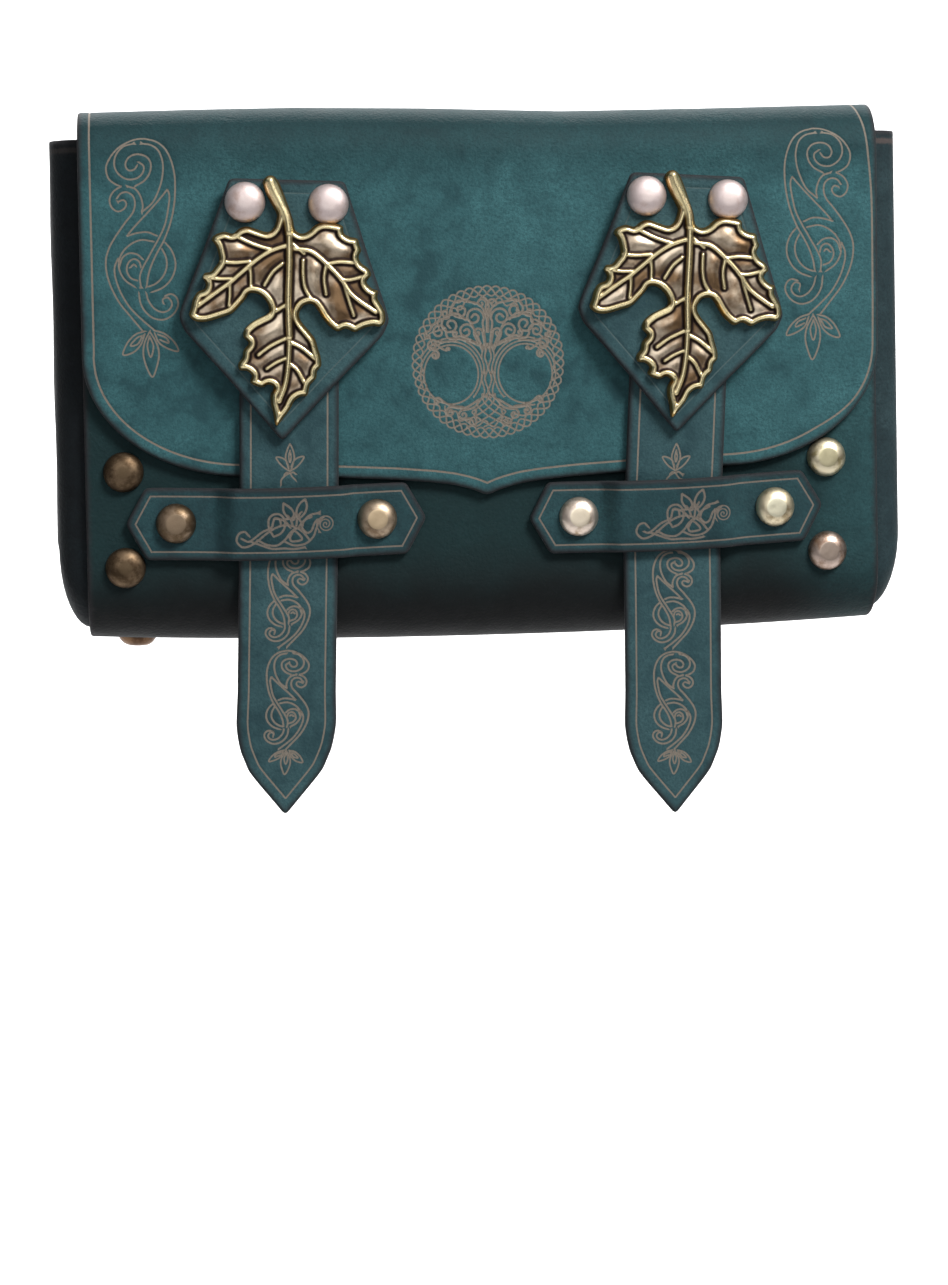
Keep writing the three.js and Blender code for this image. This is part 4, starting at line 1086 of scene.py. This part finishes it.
def gusset_sheet(sign, depth):
    """One face of a gusset: lines from the flange's edge to the end wall, and rows across that wall."""
    rows = [gusset_outline(sign, depth, depth, out) for out in (-FLANGE, -8.0)]
    for a in np.linspace(0, QUARTER, 11):
        turn = 1 - math.cos(a)
        rows.append(gusset_outline(sign, depth + (WALL_BEND - depth) * turn, depth + (WALL_RISE - depth) * turn,
                                   (WALL - depth) * math.sin(a)))
    last = rows[-1]
    half = len(last) // 2
    wall = []
    for i in range(half):
        share = np.linspace(0, 1, WALL_STEPS)[:, None]
        line = last[i] + (last[-1 - i] - last[i]) * share
        swell = np.sin(np.pi * share[:, 0])
        crown = CROWN * swell ** 0.8 * smooth((half - 1 - i) / 6.0)
        fold = 0.3 * swell * np.sin(line[:, 2] * 0.085 + 1.3 * sign) ** 2
        line[:, 0] += sign * (crown - fold)
        wall.append(line)
    return rows, wall


class Shell:
    """Faces between corners, joined where the corners meet."""

    def __init__(self, flip):
        self.flip = flip
        self.verts = []
        self.faces = []
        self.numbers = {}

    def corner(self, point):
        key = tuple(round(c, 4) for c in point)
        if key not in self.numbers:
            self.numbers[key] = len(self.verts)
            self.verts.append(point)
        return self.numbers[key]

    def quad(self, *points):
        ids = [self.corner(p) for p in points]
        ids = [a for a, b in zip(ids, ids[1:] + ids[:1]) if a != b]
        if len(set(ids)) > 2:
            self.faces.append(tuple(ids[::-1] if self.flip else ids))


def gusset(side):
    sign = side["sign"]
    (outer, wall_out), (inner, wall_in) = gusset_sheet(sign, 0.0), gusset_sheet(sign, GUSSET)
    shell = Shell(sign > 0)
    quad = shell.quad
    last = len(outer[0]) - 1
    for i in range(last):
        for k in range(len(outer) - 1):
            quad(outer[k][i], outer[k + 1][i], outer[k + 1][i + 1], outer[k][i + 1])
            quad(inner[k][i], inner[k][i + 1], inner[k + 1][i + 1], inner[k + 1][i])
        quad(outer[0][i], outer[0][i + 1], inner[0][i + 1], inner[0][i])
    for k in range(len(outer) - 1):
        quad(outer[k + 1][0], outer[k][0], inner[k][0], inner[k + 1][0])
        quad(outer[k][last], outer[k + 1][last], inner[k + 1][last], inner[k][last])
    for i in range(len(wall_out) - 1):
        for t in range(WALL_STEPS - 1):
            quad(wall_out[i + 1][t], wall_out[i][t], wall_out[i][t + 1], wall_out[i + 1][t + 1])
            quad(wall_in[i][t], wall_in[i + 1][t], wall_in[i + 1][t + 1], wall_in[i][t + 1])
    for t in range(WALL_STEPS - 1):
        quad(wall_out[0][t + 1], wall_out[0][t], wall_in[0][t], wall_in[0][t + 1])
    points = np.array(shell.verts)
    rim = np.clip((MOUTH - points[:, 2]) / 2.4, 0, 1)
    lined = np.exp(-((points[:, 2] - (MOUTH - 2.6)) / 0.5) ** 2)
    make_mesh("gusset_" + side["name"] + "_wall", settle(points), shell.faces, gusset_leathers[side["name"]],
              "gusset_" + side["name"], {"edge": rim, "tooled": lined})


for side in SIDES:
    gusset(side)


# The leaf's outline, clockwise from the stem's right side, on squares of about 0.25 mm
LEAF_EDGE = (
    (294, 228), (300, 232), (307, 230), (314, 224), (322, 221), (333, 222), (342, 225), (343, 232), (349, 236),
    (357, 238), (359, 245), (361, 250), (358, 256), (361, 263), (368, 268), (371, 275), (366, 280), (368, 285),
    (373, 289), (378, 291), (377, 298), (381, 305), (385, 313), (385, 322), (380, 327), (372, 326), (363, 328),
    (354, 332), (345, 328), (337, 331), (329, 326), (322, 318), (316, 308), (311, 303), (303, 304), (298, 312),
    (300, 320), (308, 330), (314, 338), (317, 348), (320, 358), (320, 366), (316, 370), (315, 378), (309, 384),
    (306, 395), (299, 396), (293, 400), (289, 408), (283, 416), (275, 425), (272, 410), (270, 402), (270, 393),
    (273, 386), (268, 383), (262, 386), (255, 384), (250, 380), (252, 374), (247, 369), (240, 368), (239, 361),
    (243, 356), (244, 348), (249, 341), (244, 335), (245, 327), (252, 320), (261, 315), (268, 311), (268, 304),
    (264, 297), (258, 292), (250, 291), (246, 297), (240, 304), (233, 311), (222, 315), (208, 319), (198, 318),
    (192, 312), (194, 305), (196, 296), (200, 289), (207, 286), (208, 280), (205, 275), (207, 270), (213, 269),
    (217, 264), (221, 258), (220, 250), (218, 243), (214, 237), (217, 232), (226, 229), (234, 231), (240, 226),
    (248, 224), (257, 227), (267, 230), (273, 226), (276, 217), (276, 212), (272, 204), (267, 194), (264, 186),
    (263, 179), (267, 174), (273, 174), (278, 180), (283, 192), (288, 206), (292, 218),
)
# Veins: half width in mm, crest height in mm, then the line
VEINS = (
    (1.45, 3.20, ((270, 179), (274, 190), (280, 203), (286, 217), (288, 230))),
    (1.15, 2.85, ((288, 226), (288, 262), (287, 300), (288, 335))),
    (0.95, 2.55, ((288, 335), (287, 360), (284, 382), (278, 400))),
    (0.85, 2.45, ((294, 247), (310, 250), (325, 262), (340, 278), (352, 295), (375, 312))),
    (0.85, 2.45, ((284, 244), (270, 249), (256, 258), (240, 272), (231, 280), (220, 288), (200, 303))),
    (0.75, 2.35, ((272, 248), (254, 242), (236, 233))),
    (0.75, 2.35, ((250, 259), (236, 260), (223, 259))),
    (0.70, 2.30, ((250, 264), (251, 274), (251, 285))),
    (0.70, 2.30, ((233, 276), (220, 276), (207, 274))),
    (0.70, 2.30, ((231, 280), (231, 292), (230, 303))),
    (0.75, 2.35, ((281, 262), (272, 270), (264, 283))),
    (0.75, 2.35, ((302, 259), (302, 275), (304, 287), (310, 298))),
    (0.75, 2.35, ((325, 263), (338, 261), (352, 262))),
    (0.75, 2.35, ((340, 279), (350, 279), (362, 276))),
    (0.70, 2.30, ((343, 283), (347, 297), (353, 315))),
    (0.75, 2.35, ((325, 264), (323, 278), (325, 293))),
    (0.78, 2.40, ((288, 340), (301, 347), (314, 358))),
    (0.75, 2.35, ((288, 362), (296, 369), (303, 382))),
    (0.75, 2.35, ((284, 337), (270, 344), (258, 353))),
    (0.70, 2.30, ((284, 357), (275, 361), (266, 367))),
    (0.78, 2.40, ((247, 327), (256, 319), (270, 312), (285, 303))),
    (0.70, 2.30, ((303, 252), (296, 246), (289, 240))),
)
# Heights in mm of the hollows, the outer edge and the rim's crest, and the crest's distance from the edge
FLOOR_H, EDGE_H, RIM_H, RIM_AT = 1.25, 0.9, 2.6, 1.2
DOME = 1.05
LEAF_SQUARE = 0.2447
LEAF_DROP = 0.237


def leaf_spot(points):
    """Places in mm of points of the tables, with a slight lean and a wider left side."""
    p = np.array(points, float)
    z = (240.0 - p[:, 1]) * LEAF_SQUARE
    x = p[:, 0] - 284.5
    return np.column_stack([x * np.where(x < 0, 0.2565, 0.244) + 0.018 * z, z])


def relaxed(height, tris, share, rounds):
    """Heights drawn towards their neighbours' mean, each by its own share."""
    pairs = np.unique(np.sort(np.vstack([tris[:, [0, 1]], tris[:, [1, 2]], tris[:, [2, 0]]]), 1), axis=0)
    n = len(height)
    count = np.maximum(np.bincount(pairs.ravel(), minlength=n), 1)
    for _ in range(rounds):
        total = np.bincount(pairs[:, 0], height[pairs[:, 1]], n)
        total += np.bincount(pairs[:, 1], height[pairs[:, 0]], n)
        height = mix(height, total / count, share)
    return height


def leaf_relief(verts, tris, outline):
    """Height of each point, and its shares of worn ridge, dark groove and outer flank."""
    d = nearest(verts, broken(outline, 0.12, closed=True))
    shoulder = np.sin(QUARTER * np.clip(d / RIM_AT, 0, 1))
    fall = np.cos(QUARTER * np.clip((d - RIM_AT - 0.1) / 0.75, 0, 1)) ** 1.3
    height = np.where(d < RIM_AT, EDGE_H + (RIM_H - EDGE_H) * shoulder, FLOOR_H + (RIM_H - FLOOR_H) * fall)
    ridge = np.where(d < RIM_AT, np.clip((d - 0.2) / 0.5, 0, 1), fall)
    clear = d - RIM_AT - 0.7
    for half, crest, line in VEINS:
        away = nearest(verts, broken(spline(leaf_spot(line), 0.4), 0.12))
        share = (1 - np.clip(away / half, 0, 1) ** 2) ** 0.8
        height = np.maximum(height, FLOOR_H + (crest - FLOOR_H) * share)
        ridge = np.maximum(ridge, share)
        clear = np.minimum(clear, away - half)
    height += DOME * np.sin(QUARTER * np.clip(clear / 2.6, 0, 1))
    height = relaxed(height, tris, 0.75 * smooth((clear + 0.1) / 0.5), 16)
    height = relaxed(height, tris, 0.4, 1)
    groove = np.clip(1 - np.abs(clear - 0.02) / 0.95, 0, 1)
    return height, ridge, groove, 1 - smooth((d - 0.3) / 0.5)


def leaf(side):
    """A casting with an upright edge, a relief face and a flat underside."""
    outline = softened(spline(leaf_spot(LEAF_EDGE)[::-1], 0.42, closed=True), 1)
    normal = normals_of(outline)
    n = len(outline)
    boundary = outline + normal * 0.22
    low, high = boundary.min(0), boundary.max(0)
    verts, tris, _, home = fill(boundary, grid_points(((low[0], high[0], low[1], high[1], 0.27),)))
    height, ridge, groove, flank = leaf_relief(verts, tris, outline)

    edge_rings = ((0.0, 0.0), (0.0, EDGE_H - 0.25), (0.06, EDGE_H))
    first = n * len(edge_rings)
    rows = [np.column_stack([outline + normal * inset, np.full(n, rise)]) for inset, rise in edge_rings]
    rows.append(np.column_stack([verts, height]))
    rings = [range(k * n, (k + 1) * n) for k in range(len(edge_rings))] + [[first + i for i in home]]
    faces = []
    for lower, upper in zip(rings[:-1], rings[1:]):
        faces += band(lower, upper)
    faces += [tuple(first + i for i in t) for t in tris.tolist()]
    _, under, _, under_home = fill(outline, np.zeros((0, 2)))
    number = {new: old for old, new in enumerate(under_home)}
    faces += [(number[a], number[c], number[b]) for a, b, c in under.tolist() if {a, b, c} <= number.keys()]

    matrix = on_flap(side["sign"] * STRAP_X + side["leaf"], PATCH_TOP_Z - PATCH_LENGTH * LEAF_DROP,
                     side["leaf_tilt"])
    u, v, w = np.vstack(rows).T
    points = moved(matrix, np.column_stack([u, PATCH_FACE_Y - GAP + 0.28 - w, v]))
    node = "leaf_" + side["name"]
    make_mesh(node + "_cast", points, faces, cast_brass, node, {
        "ridge": np.concatenate([np.zeros(first), ridge]),
        "groove": np.concatenate([np.zeros(first), groove]),
        "flank": np.concatenate([np.ones(first), flank]),
    })


for side in SIDES:
    leaf(side)


# Rivet caps from the middle out: radius and depth in mm
FLAT_CAP = ((0.0, 0.0), (1.2, 0.0), (2.15, 0.0), (2.4, 0.035), (2.75, 0.15), (3.3, 0.4), (3.9, 0.82),
            (4.4, 1.38), (4.72, 1.95), (4.92, 2.5), (4.98, 2.85), (4.9, 3.05), (4.6, 3.15))
ROUND_CAP = ((0.0, 0.0), (1.0, 0.02), (1.6, 0.06), (2.2, 0.16), (2.8, 0.34), (3.4, 0.62), (4.0, 1.04),
             (4.45, 1.52), (4.8, 2.1), (4.98, 2.6), (5.02, 2.9), (4.95, 3.05), (4.6, 3.15))
RIVET_SIDES = 40
DENTS = 5
random.seed(7)


def dent_depth(dents, x, y):
    """How deep the small dents of a cap are at a spot."""
    return sum(deep * math.exp(-((x - out * math.cos(a)) ** 2 + (y - out * math.sin(a)) ** 2) / 0.5)
               for a, out, deep in dents)


def rivet(node):
    """A dented cap with a shank and a washer at its far end, turned about the rivet's own axis."""
    low, high = (np.array(v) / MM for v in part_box(node))
    down = node.startswith("base")
    front = not node.startswith(("back", "loop", "base"))
    centre = (low + high) / 2
    length = (high - low)[2 if down else 1]
    profile = list(FLAT_CAP if node in OTHER_CAPS else ROUND_CAP)
    profile += [(1.5, 3.15), (1.5, length - 1.1), (3.8, length - 1.1), (3.0, length), (0.0, length)]
    dents = [(random.uniform(0, 6.28), random.uniform(1.2, 4.4), random.uniform(0.015, 0.05))
             for _ in range(DENTS)]
    verts = []
    height = []
    for radius, depth in profile:
        for k in range(RIVET_SIDES):
            angle = 2 * math.pi * k / RIVET_SIDES
            x, y = radius * math.cos(angle), radius * math.sin(angle)
            sunk = depth + (dent_depth(dents, x, y) if depth < 2.6 else 0.0)
            if down:
                verts.append((centre[0] + x, centre[1] + y, low[2] + sunk))
            elif front:
                verts.append((centre[0] + x, low[1] + sunk, centre[2] + y))
            else:
                verts.append((centre[0] + x, high[1] - sunk, centre[2] + y))
            height.append(max(0.0, 1 - depth / 3.0))
    points = settle(np.array(verts)) if down else verts
    patch = node.startswith("patch")
    make_mesh(node + "_cap", points, rivet_faces(profile, down or front),
              SILVER if patch else OTHER_CAPS.get(node, BROWN), node,
              {"high": height})


def rivet_faces(profile, turned):
    """Rings of faces along a profile, with triangles where it meets the axis."""
    faces = []
    for i in range(len(profile) - 1):
        for k in range(RIVET_SIDES):
            j = (k + 1) % RIVET_SIDES
            a, b = i * RIVET_SIDES + k, i * RIVET_SIDES + j
            c, d = b + RIVET_SIDES, a + RIVET_SIDES
            ring = (a, d, c, b) if turned else (a, b, c, d)
            if profile[i][0] == 0.0:
                ring = tuple(v for v in ring if v != b)
            if profile[i + 1][0] == 0.0:
                ring = tuple(v for v in ring if v != c)
            faces.append(ring)
    return faces


for node in sorted(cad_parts):
    if "rivet" in node:
        rivet(node)


def floor():
    """A pale floor below the pouch that bends up into a wall far behind it, in metres."""
    n = Nodes("floor_pale")
    colour = n.blend(n.noise(3.0, 3.0), (0.5, 0.5, 0.505), (0.54, 0.54, 0.54))
    n.finish(colour, 0.9, 0.0, Specular_IOR_Level=0.1)
    bend, near, far, ground, top, half = 1.2, -1.6, 3.6, -0.9, 3.5, 4.0
    profile = [(near, ground), (0.0, ground)]
    profile += [(far - bend + bend * math.sin(a), ground + bend * (1 - math.cos(a)))
                for a in np.linspace(0, QUARTER, 16)]
    profile.append((far, top))
    mesh = bpy.data.meshes.new("floor")
    verts = [(x, y, z) for y, z in profile for x in (-half, half)]
    mesh.from_pydata(verts, [], [(2 * i, 2 * i + 1, 2 * i + 3, 2 * i + 2) for i in range(len(profile) - 1)])
    mesh.materials.append(n.material)
    mesh.shade_smooth()
    obj = bpy.data.objects.new("floor", mesh)
    bpy.context.scene.collection.objects.link(obj)


def area(name, place, target, wide, high, power, colour=(1, 1, 1)):
    light = bpy.data.lights.new(name, "AREA")
    light.shape = "RECTANGLE"
    light.size = wide
    light.size_y = high
    light.energy = power
    light.color = colour
    obj = bpy.data.objects.new(name, light)
    obj.location = place
    obj.rotation_euler = (Vector(target) - Vector(place)).to_track_quat("-Z", "Y").to_euler()
    bpy.context.scene.collection.objects.link(obj)


def sky():
    """A white world that is dim at the horizon and brighter overhead."""
    world = bpy.data.worlds.new("studio")
    bpy.context.scene.world = world
    world.use_nodes = True
    tree = world.node_tree
    tree.nodes.clear()
    place = tree.nodes.new("ShaderNodeTexCoord")
    split = tree.nodes.new("ShaderNodeSeparateXYZ")
    ramp = tree.nodes.new("ShaderNodeMapRange")
    ramp.interpolation_type = "SMOOTHSTEP"
    background = tree.nodes.new("ShaderNodeBackground")
    background.inputs["Color"].default_value = (1, 1, 1, 1)
    output = tree.nodes.new("ShaderNodeOutputWorld")
    for socket, value in zip(ramp.inputs[1:5], (-0.1, 0.9, 0.03, 0.5)):
        socket.default_value = value
    for source, target in ((place.outputs["Generated"], split.inputs[0]), (split.outputs[2], ramp.inputs[0]),
                           (ramp.outputs[0], background.inputs["Strength"]),
                           (background.outputs[0], output.inputs[0])):
        tree.links.new(source, target)


def camera():
    """The photo's view: from slightly left, almost level, with the frame's middle below the pouch."""
    yaw, pitch, roll = math.radians(5.5), math.radians(2.2), math.radians(1.05)
    forward = Vector((math.sin(yaw) * math.cos(pitch), math.cos(yaw) * math.cos(pitch), -math.sin(pitch)))
    level = Vector((math.cos(yaw), -math.sin(yaw), 0))
    upright = level.cross(forward)
    up = upright * math.cos(roll) + level * math.sin(roll)
    right = level * math.cos(roll) - upright * math.sin(roll)
    focal_pixels, frame_pixels, film = 3004.2, 1285, 36.0
    data = bpy.data.cameras.new("camera")
    data.sensor_fit = "VERTICAL"
    data.sensor_height = film
    data.lens = focal_pixels / frame_pixels * film
    data.shift_x = -0.0125
    data.shift_y = -0.1438
    data.clip_start = 0.01
    data.clip_end = 50.0
    obj = bpy.data.objects.new("camera", data)
    basis = Matrix((right, up, -forward)).transposed().to_4x4()
    obj.matrix_world = Matrix.Translation((-0.07128, -0.79895, -0.013)) @ basis
    bpy.context.scene.collection.objects.link(obj)
    bpy.context.scene.camera = obj


floor()
area("key_light", (0.5, -0.75, 0.75), (0, -0.04, 0), 0.4, 0.32, 19.0, (1.0, 0.985, 0.965))
area("front_light", (-0.35, -1.7, 0.3), (0, -0.04, -0.03), 1.4, 1.0, 6.0, (0.98, 0.99, 1.0))
area("backdrop_light", (0, 1.7, 2.0), (0, 3.0, 0.0), 3.6, 1.0, 420.0)
sky()
camera()
bpy.context.scene.view_settings.view_transform = "Standard"

bpy.context.view_layer.update()
